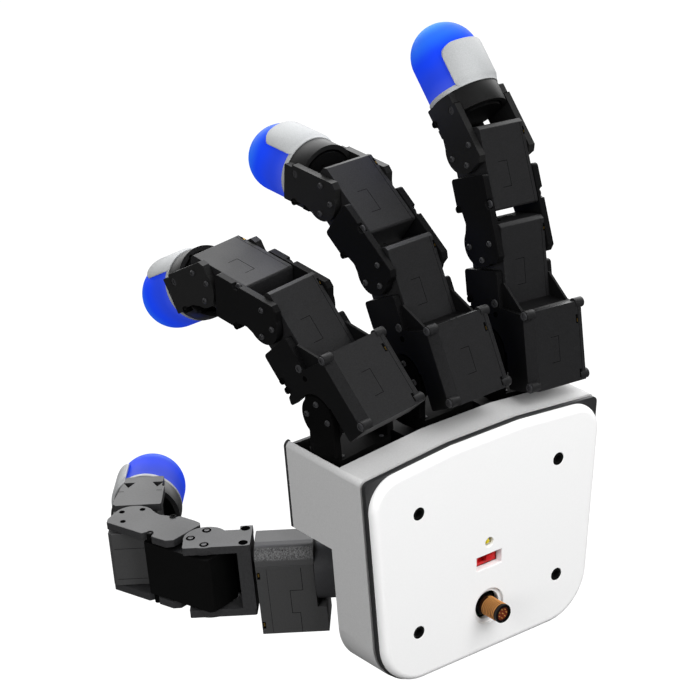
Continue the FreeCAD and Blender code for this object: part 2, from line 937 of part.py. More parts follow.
def heel_core():
    """Dark block inside the heel, beside the thumb's base."""
    inset = shell_wall + frame_fit
    body = palm_mass(inset, palm_front, band_front + 5.8)
    keep = block(-band_front - 5.8, 60, -90, 90, -150, ledge_height + inset - 0.2)
    return body.common(keep)


def service_board():
    """Circuit board behind the ports."""
    z = mount_centre_z
    rear = shell_rear
    x = -rear + board_depth
    return block(x - board_thickness, x, -15, 15, z + socket_height - 11, z + 7)


def status_lamp():
    """Small domed indicator lamp on the board."""
    z = mount_centre_z + lamp_height
    start = -shell_rear + board_depth - board_thickness
    length = cover_face - shell_rear + board_depth - board_thickness - 2.2
    body = rod(lamp_radius, (start, 0, z), (start - length, 0, z))
    dome = Part.makeSphere(lamp_radius, Vector(start - length, 0, z))
    return fuse([body, dome])


def switch_body():
    """Body of the slide switch in the rectangular window."""
    z = mount_centre_z + window_height
    start = -shell_rear + board_depth - board_thickness
    end = -cover_face + switch_deep
    body = block(end, start, -switch_width / 2, switch_width / 2, z - switch_tall / 2, z + switch_tall / 2)
    half = slider_width / 2 + switch_travel + 0.3
    slot = block(
        end - 1, end + 1.6, slider_place - half + switch_travel, slider_place + half + switch_travel,
        z - slider_tall / 2 - 0.1, z + slider_tall / 2 + 0.1,
    )
    return body.cut(slot)


def switch_slider():
    """Slider of the mode switch."""
    z = mount_centre_z + window_height
    end = -cover_face + switch_deep
    half = slider_width / 2
    return block(
        end - slider_stand, end + 1.5, slider_place - half, slider_place + half,
        z - slider_tall / 2, z + slider_tall / 2,
    )


def socket_barrel():
    """Threaded metal barrel of the power and data socket."""
    z = mount_centre_z + socket_height
    start = -shell_rear + board_depth - board_thickness
    end = -cover_face - socket_stand
    barrel = rod(socket_radius, (nut_face(), 0, z), (end, 0, z))
    neck = rod(socket_neck, (start, 0, z), (nut_face(), 0, z))
    bore = rod(socket_bore, (end - 1, 0, z), (end + 6, 0, z))
    return fuse([barrel, neck]).cut(bore)


def socket_insert():
    """Contact carrier inside the barrel."""
    z = mount_centre_z + socket_height
    end = -cover_face - socket_stand
    return rod(socket_bore, (end + 0.8, 0, z), (end + 6, 0, z))


def nut_face():
    """Plane of the nut's outer face."""
    return -cover_face + socket_recess_depth + 0.4


def socket_nut_ring():
    """Hexagon nut that clamps the barrel to the cover."""
    z = mount_centre_z + socket_height
    start = nut_face()
    points = []
    for i in range(6):
        turn = math.radians(60 * i + 12)
        points.append((socket_nut * math.cos(turn), z + socket_nut * math.sin(turn), 0))
    nut = slab_x(points, start, start + socket_nut_thickness)
    return nut.cut(rod(socket_neck, (-60, 0, z), (0, 0, z)))


def hinge_turn(angle):
    """Flexing turn about a digit's cross axis."""
    return FreeCAD.Rotation(Vector(0, 1, 0), angle)


def finger_frames(base, pose):
    """Frames of the yoke and the three links of a finger."""
    swing = FreeCAD.Placement(Vector(), FreeCAD.Rotation(Vector(0, 0, 1), pose[0]))
    frame = base.multiply(swing)
    frames = [frame]
    for reach, angle in zip((knuckle_height, proximal_length, middle_length), pose[1:]):
        frame = frame.multiply(FreeCAD.Placement(Vector(0, 0, reach), hinge_turn(angle)))
        frames.append(frame)
    return frames


def thumb_frames(pose):
    """Frames of the thumb: fixed pivot, base, yoke, second and last link."""
    lean = FreeCAD.Rotation(Vector(1, 0, 0), -90 - thumb_tilt)
    pivot = FreeCAD.Placement(Vector(*thumb_pivot), lean)
    base = pivot.multiply(FreeCAD.Placement(Vector(), hinge_turn(pose[0])))
    roll = FreeCAD.Rotation(Vector(0, 0, 1), pose[1])
    yoke_frame = base.multiply(FreeCAD.Placement(Vector(), roll))
    first = yoke_frame.multiply(
        FreeCAD.Placement(Vector(0, 0, thumb_first_reach), hinge_turn(pose[2]))
    )
    last = first.multiply(
        FreeCAD.Placement(Vector(0, 0, thumb_second_length), hinge_turn(pose[3]))
    )
    return [pivot, base, yoke_frame, first, last]


def placed(shape, frame):
    """Copy of a shape moved by a frame."""
    result = shape.copy()
    result.Placement = frame.multiply(result.Placement)
    return result


def finger_pieces(name, base, pose):
    """All pieces of one finger in the stored pose."""
    knuckle, first, second, last = finger_frames(base, pose)
    pieces = {
        "yoke": placed(yoke(), knuckle),
        "proximal_frame": placed(proximal_frame(), first),
        "proximal_housing": placed(proximal_housing(), first),
        "proximal_cover": placed(proximal_cover(), first),
        "middle_servo": placed(servo_body(proximal_length), first),
        "middle_plate_thumbward": placed(middle_side(1), second),
        "middle_plate_outward": placed(middle_side(-1), second),
        "distal_servo": placed(servo_body(middle_length), second),
        "distal_frame": placed(distal_frame(), last),
        "tip_shell": placed(tip_shell(0, shell_half_angle), last),
        "tip_pad": placed(tip_pad(0), last),
    }
    return {name + "_" + key: shape for key, shape in pieces.items()}


def thumb_pieces():
    """All pieces of the thumb in the stored pose, and its fixed bracket."""
    pivot, base, turned, first, last = thumb_frames(pose_thumb)
    bracket = placed(thumb_bracket(), pivot)
    bracket = bracket.cut(block(-90, 90, -90, heel_side + 0.05, -150, 60))
    return {
        "thumb_bracket": bracket,
        "thumb_hub": placed(thumb_hub(), base),
        "thumb_roll_servo": placed(roll_servo(), base),
        "thumb_cap": placed(thumb_cap(), base),
        "thumb_yoke": placed(thumb_yoke(), turned),
        "thumb_plate_lower": placed(thumb_side(1), first),
        "thumb_plate_upper": placed(thumb_side(-1), first),
        "thumb_first_servo": placed(inverted_servo(), first),
        "thumb_last_servo": placed(tip_servo(), last),
        "thumb_distal_frame": placed(thumb_distal_frame(), last),
        "thumb_tip_shell": placed(tip_shell(thumb_tip_extra, thumb_shell_half_angle), last),
        "thumb_tip_pad": placed(tip_pad(thumb_tip_extra), last),
    }


def palm_pieces():
    """All pieces of the palm."""
    return {
        "palm_shell": palm_shell(),
        "palm_front_plate": front_plate(),
        "palm_rim": rim_plate(),
        "palm_back_cover": back_cover(),
        "palm_inner_frame": inner_frame(),
        "palm_heel_core": heel_core(),
        "palm_mount_bosses": mount_bosses(),
        "service_board": service_board(),
        "status_lamp": status_lamp(),
        "mode_switch_body": switch_body(),
        "mode_switch_slider": switch_slider(),
        "socket_barrel": socket_barrel(),
        "socket_insert": socket_insert(),
        "socket_nut": socket_nut_ring(),
    }


def main():
    """Build every piece and write one file per piece."""
    os.makedirs("parts", exist_ok=True)
    pieces = palm_pieces()
    names = ("index", "middle", "ring")
    poses = (pose_index, pose_middle, pose_ring)
    for name, base, pose in zip(names, finger_base_frames(), poses):
        pieces.update(finger_pieces(name, base, pose))
    pieces.update(thumb_pieces())
    shift = FreeCAD.Placement(mount_shift, FreeCAD.Rotation())
    for node, shape in pieces.items():
        placed(shape, shift).exportStep("parts/" + node + ".step")


main()
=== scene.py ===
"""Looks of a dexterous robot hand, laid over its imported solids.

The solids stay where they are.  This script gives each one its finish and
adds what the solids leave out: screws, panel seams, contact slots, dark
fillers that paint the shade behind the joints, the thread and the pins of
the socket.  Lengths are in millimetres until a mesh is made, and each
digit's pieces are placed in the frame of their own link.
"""

import json
import logging
import math
from dataclasses import dataclass, field
from enum import Enum

import bmesh
import bpy
from mathutils import Matrix, Vector


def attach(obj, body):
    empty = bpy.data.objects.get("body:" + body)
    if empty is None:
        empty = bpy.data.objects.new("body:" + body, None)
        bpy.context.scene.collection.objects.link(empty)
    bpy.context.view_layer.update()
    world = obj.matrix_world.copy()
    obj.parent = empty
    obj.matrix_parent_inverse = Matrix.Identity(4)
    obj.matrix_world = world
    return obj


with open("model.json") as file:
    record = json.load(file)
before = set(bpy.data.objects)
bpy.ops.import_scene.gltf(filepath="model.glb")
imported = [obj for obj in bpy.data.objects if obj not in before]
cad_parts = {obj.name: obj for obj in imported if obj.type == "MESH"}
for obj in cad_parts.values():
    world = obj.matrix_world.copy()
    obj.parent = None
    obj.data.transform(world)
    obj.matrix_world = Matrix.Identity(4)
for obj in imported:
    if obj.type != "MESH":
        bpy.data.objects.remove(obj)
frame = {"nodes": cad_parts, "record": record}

LOG = logging.getLogger("hand")
MM = 0.001

Point = tuple[float, float, float]
Spot = tuple[float, float]
Colour = tuple[float, float, float]
Node = bpy.types.Node
Object = bpy.types.Object

# Sockets of a Mix node in its colour mode.
MIX_A, MIX_B, MIX_OUT = 6, 7, 2


class Side(Enum):
    """Which flank of a digit a detail sits on."""

    THUMBWARD = 1.0
    OUTWARD = -1.0


class Digit(Enum):
    """The four digits, by the name of their bodies."""

    INDEX = "index"
    MIDDLE = "middle"
    RING = "ring"
    THUMB = "thumb"


FINGERS = (Digit.INDEX, Digit.MIDDLE, Digit.RING)


def turn(axis: str, degrees: float) -> Matrix:
    """Rotation about one axis.

    Args:
        axis: "X", "Y" or "Z".
        degrees: Angle in degrees.

    Returns:
        The 4x4 rotation.
    """
    return Matrix.Rotation(math.radians(degrees), 4, axis)


def shift(x: float, y: float, z: float) -> Matrix:
    """Translation by (x, y, z) millimetres."""
    return Matrix.Translation((x, y, z))


@dataclass(frozen=True)
class Skeleton:
    """Link frames of the whole hand in its stored pose, in millimetres."""

    mount: Point = (36.0, 0.0, 48.85)
    pitch: float = 43.5
    tilt: float = 5.0
    base_x: float = -0.6
    middle_rise: float = 1.13
    outer_drop: float = 1.37
    knuckle: float = 17.36
    proximal: float = 43.6
    middle: float = 38.7
    thumb_pivot: Point = (2.8, 32.3, -62.2)
    thumb_tilt: float = 5.9
    thumb_first: float = 65.4
    thumb_second: float = 40.4
    poses: dict[Digit, tuple[float, float, float, float]] = field(
        default_factory=lambda: {
            Digit.INDEX: (2.6, 42.0, 42.0, 36.0),
            Digit.MIDDLE: (1.6, 26.1, 27.7, 33.6),
            Digit.RING: (1.4, 12.7, 10.1, 21.2),
            Digit.THUMB: (42.1, 3.7, 35.6, 54.9),
        }
    )

    def palm(self) -> Matrix:
        """Frame of the palm."""
        return shift(*self.mount)

    def finger(self, digit: Digit) -> list[Matrix]:
        """Frames of a finger's yoke and its three links.

        Args:
            digit: One of the three fingers.

        Returns:
            Four matrices, from the yoke to the tip.
        """
        side = {Digit.INDEX: 1, Digit.MIDDLE: 0, Digit.RING: -1}[digit]
        rise = -self.outer_drop if side else self.middle_rise
        spread, *bends = self.poses[digit]
        at = self.palm() @ shift(self.base_x, side * self.pitch, rise)
        at = at @ turn("X", -side * self.tilt) @ turn("Z", spread)
        frames = [at]
        for reach, angle in zip((self.knuckle, self.proximal, self.middle), bends):
            at = at @ shift(0, 0, reach) @ turn("Y", angle)
            frames.append(at)
        return frames

    def thumb(self) -> list[Matrix]:
        """Frames of the thumb's base, yoke, second and last link."""
        swing, roll, first, last = self.poses[Digit.THUMB]
        base = self.palm() @ shift(*self.thumb_pivot)
        base = base @ turn("X", -90 - self.thumb_tilt) @ turn("Y", swing)
        yoke = base @ turn("Z", roll)
        second = yoke @ shift(0, 0, self.thumb_first) @ turn("Y", first)
        tip = second @ shift(0, 0, self.thumb_second) @ turn("Y", last)
        return [base, yoke, second, tip]


class Graph:
    """Builds any node tree a node at a time."""

    def __init__(self, tree: bpy.types.NodeTree) -> None:
        """Start on that tree, emptied."""
        self.tree = tree
        tree.nodes.clear()

    def add(self, kind: str, inputs: dict | None = None, **values: object) -> Node:
        """A new node with some of its properties, and then of its inputs, set."""
        node = self.tree.nodes.new(kind)
        for key, value in values.items():
            setattr(node, key, value)
        for key, value in (inputs or {}).items():
            node.inputs[key].default_value = value
        return node

    def link(self, a: Node, out: str | int, b: Node, into: str | int) -> None:
        """Join output `out` of node a to input `into` of node b."""
        self.tree.links.new(a.outputs[out], b.inputs[into])

    def remap(self, source: Node, out: str, taken: Spot = (0.0, 1.0),
              given: Spot = (0.0, 1.0)) -> Node:
        """Map the span `taken` of an output to the span `given`."""
        ends = zip(("From Min", "From Max", "To Min", "To Max"), (*taken, *given))
        node = self.add("ShaderNodeMapRange", dict(ends))
        self.link(source, out, node, "Value")
        return node

    def divide(self, output: Node, eye: Node, rest: Node) -> None:
        """Give the camera's own rays one shader, and all other rays another."""
        mix = self.add("ShaderNodeMixShader")
        self.link(self.add("ShaderNodeLightPath"), "Is Camera Ray", mix, "Fac")
        self.link(rest, 0, mix, 1)
        self.link(eye, 0, mix, 2)
        self.link(mix, 0, output, "Surface")


class Shader(Graph):
    """Builds a material's node tree round one surface shader."""

    def __init__(self, name: str) -> None:
        """Start an empty material with that name."""
        self.material = bpy.data.materials.new(name)
        self.material.use_nodes = True
        super().__init__(self.material.node_tree)
        self.surface = self.add("ShaderNodeBsdfPrincipled")
        output = self.add("ShaderNodeOutputMaterial")
        self.link(self.surface, "BSDF", output, "Surface")
        self.place = self.add("ShaderNodeTexCoord")

    def coordinates(self, place: Matrix) -> Node:
        """Node that gives X, Y and Z in the frame `place`, in metres."""
        local = place.inverted()
        placing = {"Location": local.to_translation() * MM, "Rotation": local.to_euler("XYZ")}
        mapping = self.add("ShaderNodeMapping", placing, vector_type="POINT")
        self.link(self.place, "Object", mapping, "Vector")
        parts = self.add("ShaderNodeSeparateXYZ")
        self.link(mapping, "Vector", parts, 0)
        return parts

    def noise(self, scale: float, detail: float = 3.0) -> Node:
        """Noise on Object coordinates, with `scale` features to the metre."""
        node = self.add("ShaderNodeTexNoise", {"Scale": scale, "Detail": detail})
        self.link(self.place, "Object", node, "Vector")
        return node

    def spread(self, source: Node, low: float, high: float) -> Node:
        """Map the span that holds most of a noise's values to low..high."""
        return self.remap(source, "Fac", (0.3, 0.7), (low, high))

    def mottled(self, amount: Node, colour: Colour, mottle: float) -> Node:
        """Mix of a darker and a lighter tone of one colour, driven by a noise."""
        floor = 0.004
        dark = tuple(c * (1 - mottle) for c in colour)
        light = tuple(min(1.0, c * (1 + mottle) + mottle * floor) for c in colour)
        tones = {MIX_A: (*dark, 1), MIX_B: (*light, 1)}
        node = self.add("ShaderNodeMix", tones, data_type="RGBA")
        self.link(amount, "Result", node, 0)
        return node


@dataclass(frozen=True)
class Zone:
    """A band across one axis of a frame, in which a finish changes."""

    place: Matrix
    axis: str
    low: float
    high: float
    fade: float
    colour: Colour
    mottle: float
    relief: float

    def mask(self, shader: Shader) -> Node:
        """Node that gives 1 inside the band and 0 outside it."""
        parts = shader.coordinates(self.place)
        sides = []
        for edge, sign in ((self.low, 1), (self.high, -1)):
            span = ((edge - sign * self.fade) * MM, (edge + sign * self.fade) * MM)
            sides.append(shader.remap(parts, self.axis, span))
        both = shader.add("ShaderNodeMath", operation="MULTIPLY")
        shader.link(sides[0], "Result", both, 0)
        shader.link(sides[1], "Result", both, 1)
        return both


@dataclass(frozen=True)
class Finish:
    """A surface: its colour, its gloss and the grain that breaks up both."""

    name: str
    colour: Colour
    roughness: float
    metallic: float = 0.0
    grain: float = 1400.0
    mottle: float = 0.12
    relief: float = 0.02
    smudge: float = 0.05
    coat: float = 0.0
    specular: float = 0.5
    zone: Zone | None = None
    coat_roughness: float = 0.25
    smudge_scale: float = 38.0
    bump: float = 0.6

    def build(self) -> bpy.types.Material:
        """The node material: grain in the colour and relief, smudges in the gloss."""
        shader = Shader(self.name)
        surface = shader.surface
        surface.inputs["Metallic"].default_value = self.metallic
        surface.inputs["Specular IOR Level"].default_value = self.specular
        if self.coat:
            surface.inputs["Coat Weight"].default_value = self.coat
            surface.inputs["Coat Roughness"].default_value = self.coat_roughness
        fine = shader.noise(self.grain, detail=4.0)
        amount = shader.spread(fine, 0.0, 1.0)
        colour = shader.mottled(amount, self.colour, self.mottle)
        broad = shader.noise(self.smudge_scale, detail=5.0)
        gloss = shader.spread(broad, self.roughness - self.smudge, self.roughness + self.smudge)
        shader.link(gloss, "Result", surface, "Roughness")
        bump = shader.add("ShaderNodeBump", {"Strength": self.bump, "Distance": self.relief * MM})
        shader.link(fine, "Fac", bump, "Height")
        if self.zone:
            mask = self.zone.mask(shader)
            outside = colour
            inside = shader.mottled(amount, self.zone.colour, self.zone.mottle)
            colour = shader.add("ShaderNodeMix", data_type="RGBA")
            shader.link(mask, "Value", colour, 0)
            shader.link(outside, MIX_OUT, colour, MIX_A)
            shader.link(inside, MIX_OUT, colour, MIX_B)
            reliefs = (self.relief * MM, self.zone.relief * MM)
            depth = shader.remap(mask, "Value", given=reliefs)
            shader.link(depth, "Result", bump, "Distance")
        shader.link(colour, MIX_OUT, surface, "Base Color")
        shader.link(bump, "Normal", surface, "Normal")
        return shader.material


@dataclass(frozen=True)
class GlowFinish:
    """Translucent blue rubber, lit from inside and bluest round its middle."""

    name: str
    place: Matrix
    length: float = 18.0
    radius: float = 14.5
    strength: float = 0.95
    tint: float = 0.6
    specular: float = 0.06
    swirl: float = 45.0
    drift: float = 0.05
    smudge_scale: float = 60.0
    gloss: Spot = (0.38, 0.5)
    stops: tuple[tuple[float, Colour], ...] = (
        (0.0, (0.03, 0.055, 0.43)),
        (0.22, (0.012, 0.037, 0.44)),
        (0.5, (0.006, 0.037, 0.56)),
        (0.78, (0.014, 0.098, 0.57)),
        (1.0, (0.02, 0.2, 0.6)),
    )

    def build(self) -> bpy.types.Material:
        """The node material: a ramp along the tip, with slow swirls in it."""
        shader = Shader(self.name)
        surface = shader.surface
        parts = shader.coordinates(self.place)
        along = shader.remap(parts, "Z", (-self.length * MM, self.radius * MM))
        swirl = shader.noise(self.swirl, detail=2.0)
        drift = shader.spread(swirl, -self.drift, self.drift)
        total = shader.add("ShaderNodeMath", operation="ADD")
        shader.link(along, "Result", total, 0)
        shader.link(drift, "Result", total, 1)
        ramp = shader.add("ShaderNodeValToRGB")
        ramp.color_ramp.interpolation = "EASE"
        points = ramp.color_ramp.elements
        for i, (at, colour) in enumerate(self.stops):
            point = points[i] if i < 2 else points.new(at)
            point.position = at
            point.color = (*colour, 1)
        shader.link(total, "Value", ramp, "Fac")
        tint = {0: 1.0, MIX_B: (self.tint, self.tint, self.tint, 1)}
        dim = shader.add("ShaderNodeMix", tint, data_type="RGBA", blend_type="MULTIPLY")
        shader.link(ramp, "Color", dim, MIX_A)
        shader.link(dim, MIX_OUT, surface, "Base Color")
        shader.link(ramp, "Color", surface, "Emission Color")
        surface.inputs["Emission Strength"].default_value = self.strength
        surface.inputs["Specular IOR Level"].default_value = self.specular
        gloss = shader.spread(shader.noise(self.smudge_scale), *self.gloss)
        shader.link(gloss, "Result", surface, "Roughness")
        return shader.material


SKELETON = Skeleton()
FINISHES: dict[str, Finish] = {
    "black_frame": Finish(
        "satin_black_anodised", (0.0035, 0.0035, 0.0037), 0.44, relief=0.012, specular=0.17),
    # Lighter, glossier copy of the black anodised finish for the distal frames: the lighter colour
    # is a painted highlight on the collars.
    "distal_black": Finish(
        "collar_black_painted_highlight", (0.008, 0.008, 0.008), 0.42, relief=0.02, specular=0.45),
    # Darker, duller copy of the black anodised finish: painted shade for the yokes, which sit in
    # the fingers' shadow; the side screws take it too.
    "yoke_black": Finish(
        "black_anodised_painted_shade", (0.0025, 0.0025, 0.0025), 0.6, relief=0.012, specular=0.04),
    "thumb_frame": Finish(
        "satin_grey_anodised", (0.026, 0.026, 0.027), 0.42, relief=0.02, mottle=0.2),
    "thumb_servo": Finish(
        "grey_servo_plastic", (0.045, 0.045, 0.0455), 0.5, mottle=0.1, relief=0.015,
        grain=1900.0),
    # Near-black copy of the servo plastic: painted shade, for the thumb's first servo, whose faces
    # lie in shadow, and for the fillers that darken the gaps behind the joints.
    "hidden_servo": Finish("near_black_painted_shade", (0.0022, 0.0022, 0.0022), 0.6, specular=0.25),
    "black_servo": Finish(
        "grained_servo_plastic", (0.01, 0.01, 0.0105), 0.5, mottle=0.35, relief=0.03,
        grain=1900.0),
    # The cap is mid grey; the lighter, grainier band across its rounded top edge is partly its
    # real cast grain and partly a painted highlight where the edge catches the light.
    "thumb_cap": Finish(
        "cast_cap_painted_highlight", (0.055, 0.055, 0.056), 0.42, mottle=0.06, relief=0.01, grain=1700.0,
        zone=Zone(SKELETON.thumb()[0], "Y", -14.5, -10.2, 0.12, (0.085, 0.085, 0.086), 0.85, 0.2)),
    "black_panel": Finish("matt_black_panel", (0.02, 0.02, 0.021), 0.5),
    # Near-black band round the rim from X 5.75 to 6.5 mm: painted shadow in the gap along the rim.
    "rim": Finish(
        "rim_painted_groove_shadow", (0.02, 0.02, 0.021), 0.5,
        zone=Zone(Matrix(), "X", 5.75, 6.5, 0.12, (0.0006, 0.0006, 0.0006), 0.0, 0.0)),
    "light_shell": Finish(
        "pale_grey_shell", (0.47, 0.47, 0.47), 0.55, mottle=0.05, grain=1600.0, relief=0.03),
    "white_cover": Finish(
        "soft_white_cover", (0.83, 0.83, 0.83), 0.45, mottle=0.008, grain=900.0, relief=0.012),
    "tip_metal": Finish(
        "bead_blasted_aluminium", (0.43, 0.44, 0.445), 0.5, metallic=0.3, mottle=0.1,
        grain=2600.0, relief=0.05, specular=0.3),
    "dark_core": Finish("matt_dark_core", (0.004, 0.004, 0.004), 0.75, specular=0.2),
    "board_green": Finish("solder_mask", (0.02, 0.09, 0.04), 0.4),
    "lamp_yellow": Finish("amber_lens", (0.62, 0.5, 0.02), 0.22, mottle=0.08, coat=0.5),
    "switch_red": Finish("red_switch_plastic", (0.5, 0.006, 0.008), 0.42, mottle=0.1),
    "copper": Finish("copper_thread", (0.95, 0.42, 0.12), 0.34, metallic=0.55, mottle=0.14),
    # The barrel between the thread's ridges is painted dark brown: painted shade in the thread's
    # root. From X -12 to -7.9 mm, towards its outer end, it turns near black.
    "copper_root": Finish(
        "thread_root_painted_shade", (0.02, 0.006, 0.002), 0.6, specular=0.2, mottle=0.2,
        zone=Zone(Matrix(), "X", -12.0, -7.9, 0.1, (0.002, 0.002, 0.002), 0.0, 0.0)),
    "socket_red": Finish("dark_red_insert", (0.13, 0.02, 0.008), 0.5),
    "nut_metal": Finish("dark_nut", (0.06, 0.055, 0.05), 0.34, metallic=1.0),
    "screw_black": Finish("black_oxide_screw", (0.03, 0.03, 0.032), 0.34, relief=0.008),
    "ring_black": Finish("black_end_ring", (0.005, 0.005, 0.005), 0.5, specular=0.3),
    "seam_black": Finish("seam_shadow", (0.0015, 0.0015, 0.0015), 1.0, specular=0.0),
    "gold": Finish("gold_contact", (0.6, 0.38, 0.08), 0.4, metallic=1.0),
    "pin_gold": Finish("gold_pin", (0.6, 0.34, 0.09), 0.35, metallic=0.4),
}


class Palette:
    """The built materials, each made once."""

    def __init__(self) -> None:
        """Build every finish."""
        self.made = {key: finish.build() for key, finish in FINISHES.items()}

    def __getitem__(self, key: str) -> bpy.types.Material:
        """The material of that key."""
        return self.made[key]


def enter(name: str, data: bpy.types.ID) -> Object:
    """A new object in the scene that holds this mesh, lamp or camera."""
    made = bpy.data.objects.new(name, data)
    bpy.context.scene.collection.objects.link(made)
    return made


def to_object(name: str, bm: bmesh.types.BMesh, material: bpy.types.Material) -> Object:
    """Turn a mesh in progress into a linked object with one material.

    Args:
        name: Name of the new piece.
        bm: The mesh, already in metres and in place; it is freed.
        material: Its finish.

    Returns:
        The new object.
    """
    bmesh.ops.recalc_face_normals(bm, faces=bm.faces)
    mesh = bpy.data.meshes.new(name)
    bm.to_mesh(mesh)
    bm.free()
    mesh.materials.append(material)
    return enter(name, mesh)


def settle(piece: Object, body: str) -> Object:
    """Ride a finished piece on its body."""
    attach(piece, body)
    LOG.info("piece %s on %s: %d faces", piece.name, body, len(piece.data.polygons))
    return piece


def metres(at: Matrix, point: Point) -> Vector:
    """A point given in a link's frame, in the hand's frame and in metres."""
    return (at @ Vector(point)) * MM


class NodeTree(Graph):
    """Writes a geometry node tree with named inputs."""

    def __init__(self, name: str) -> None:
        """Start a tree that takes and gives geometry."""
        super().__init__(bpy.data.node_groups.new(name, "GeometryNodeTree"))
        face = self.tree.interface
        face.new_socket("Geometry", in_out="OUTPUT", socket_type="NodeSocketGeometry")
        face.new_socket("Geometry", in_out="INPUT", socket_type="NodeSocketGeometry")
        self.entry = self.add("NodeGroupInput")

    def _input(self, name: str, kind: str) -> bpy.types.NodeTreeInterfaceSocket:
        """Add a named input socket of one kind."""
        return self.tree.interface.new_socket(name, in_out="INPUT", socket_type=kind)

    def size(self, name: str, default: float) -> None:
        """Add a named size."""
        self._input(name, "NodeSocketFloat").default_value = default

    def count(self, name: str, default: int) -> None:
        """Add a named whole number."""
        self._input(name, "NodeSocketInt").default_value = default

    def material(self, name: str) -> None:
        """Add a named material."""
        self._input(name, "NodeSocketMaterial")

    def math(self, kind: str, a: tuple, b: tuple | float) -> Node:
        """A math node on two (node, output) pairs, or on one and a number."""
        node = self.add("ShaderNodeMath", operation=kind)
        self.link(a[0], a[1], node, 0)
        if isinstance(b, tuple):
            self.link(b[0], b[1], node, 1)
        else:
            node.inputs[1].default_value = b
        return node

    def finish(self, last: Node, out: str = "Geometry") -> None:
        """Realize the instances, set the material and close the tree."""
        real = self.add("GeometryNodeRealizeInstances")
        paint = self.add("GeometryNodeSetMaterial")
        leave = self.add("NodeGroupOutput")
        self.link(last, out, real, "Geometry")
        self.link(real, "Geometry", paint, "Geometry")
        self.link(self.entry, "Material", paint, "Material")
        self.link(paint, "Geometry", leave, "Geometry")


# Facets of the round pieces that the two trees make.
HEAD_CORNERS = 20
HEAD_LEVELS = 4
THREAD_STEPS = 40
RIDGE_CORNERS = 4


def screw_tree() -> bpy.types.NodeTree:
    """Tree that sets a domed, socketed screw head on every point.

    Returns:
        The tree; its inputs are Radius, Height, Crown, Drive, Depth, Sides and Material,
        and each point's `facing` is the way its head looks.
    """
    tree = NodeTree("screw_heads")
    for name, default in (("Radius", 0.0013), ("Height", 0.0008), ("Crown", 0.75),
                          ("Drive", 0.0006), ("Depth", 0.0004)):
        tree.size(name, default)
    tree.count("Sides", 6)
    tree.material("Material")
    facets = {"Vertices": HEAD_CORNERS, "Side Segments": HEAD_LEVELS}
    head = tree.add("GeometryNodeMeshCylinder", facets)
    tree.link(tree.entry, "Radius", head, "Radius")
    tree.link(tree.entry, "Height", head, "Depth")
    place = tree.add("GeometryNodeInputPosition")
    parts = tree.add("ShaderNodeSeparateXYZ")
    tree.link(place, 0, parts, 0)
    level = tree.math("DIVIDE", (parts, "Z"), (tree.entry, "Height"))
    bend = tree.add("ShaderNodeMapRange", {"From Min": -0.1, "From Max": 0.5, "To Min": 1.0},
                    interpolation_type="SMOOTHSTEP")
    tree.link(level, 0, bend, "Value")
    tree.link(tree.entry, "Crown", bend, "To Max")
    wide = tree.math("MULTIPLY", (parts, "X"), (bend, "Result"))
    deep = tree.math("MULTIPLY", (parts, "Y"), (bend, "Result"))
    joined = tree.add("ShaderNodeCombineXYZ")
    tree.link(wide, 0, joined, "X")
    tree.link(deep, 0, joined, "Y")
    tree.link(parts, "Z", joined, "Z")
    domed = tree.add("GeometryNodeSetPosition")
    tree.link(head, "Mesh", domed, "Geometry")
    tree.link(joined, 0, domed, "Position")
    key = tree.add("GeometryNodeMeshCylinder")
    tree.link(tree.entry, "Sides", key, "Vertices")
    tree.link(tree.entry, "Drive", key, "Radius")
    twice = tree.math("MULTIPLY", (tree.entry, "Depth"), 2.0)
    tree.link(twice, 0, key, "Depth")
    half = tree.math("MULTIPLY", (tree.entry, "Height"), 0.5)
    rise = tree.add("ShaderNodeCombineXYZ")
    tree.link(half, 0, rise, "Z")
    raised = tree.add("GeometryNodeTransform")
    tree.link(key, "Mesh", raised, "Geometry")
    tree.link(rise, 0, raised, "Translation")
    cut = tree.add("GeometryNodeMeshBoolean", operation="DIFFERENCE", solver="EXACT")
    tree.link(domed, "Geometry", cut, "Mesh 1")
    tree.link(raised, "Geometry", cut, "Mesh 2")
    facing = tree.add("GeometryNodeInputNamedAttribute", {"Name": "facing"},
                      data_type="FLOAT_VECTOR")
    aim = tree.add("FunctionNodeAlignRotationToVector", axis="Z")
    tree.link(facing, "Attribute", aim, "Vector")
    spread = tree.add("GeometryNodeInstanceOnPoints")
    tree.link(tree.entry, "Geometry", spread, "Points")
    tree.link(cut, "Mesh", spread, "Instance")
    tree.link(aim, "Rotation", spread, "Rotation")
    tree.finish(spread, "Instances")
    return tree.tree


def thread_tree() -> bpy.types.NodeTree:
    """Tree that winds a thread's ridge round the vertical axis.

    Returns:
        The tree; its inputs are Radius, Length, Turns, Ridge and Material.
    """
    tree = NodeTree("thread_ridge")
    for name, default in (("Radius", 0.0038), ("Length", 0.009), ("Turns", 11.0),
                          ("Ridge", 0.0004)):
        tree.size(name, default)
    tree.material("Material")
    spiral = tree.add("GeometryNodeCurveSpiral", {"Resolution": THREAD_STEPS})
    tree.link(tree.entry, "Turns", spiral, "Rotations")
    tree.link(tree.entry, "Radius", spiral, "Start Radius")
    tree.link(tree.entry, "Radius", spiral, "End Radius")
    tree.link(tree.entry, "Length", spiral, "Height")
    profile = tree.add("GeometryNodeCurvePrimitiveCircle", {"Resolution": RIDGE_CORNERS},
                       mode="RADIUS")
    tree.link(tree.entry, "Ridge", profile, "Radius")
    sweep = tree.add("GeometryNodeCurveToMesh", {"Fill Caps": True})
    tree.link(spiral, "Curve", sweep, "Curve")
    tree.link(profile, "Curve", sweep, "Profile Curve")
    tree.finish(sweep, "Mesh")
    return tree.tree


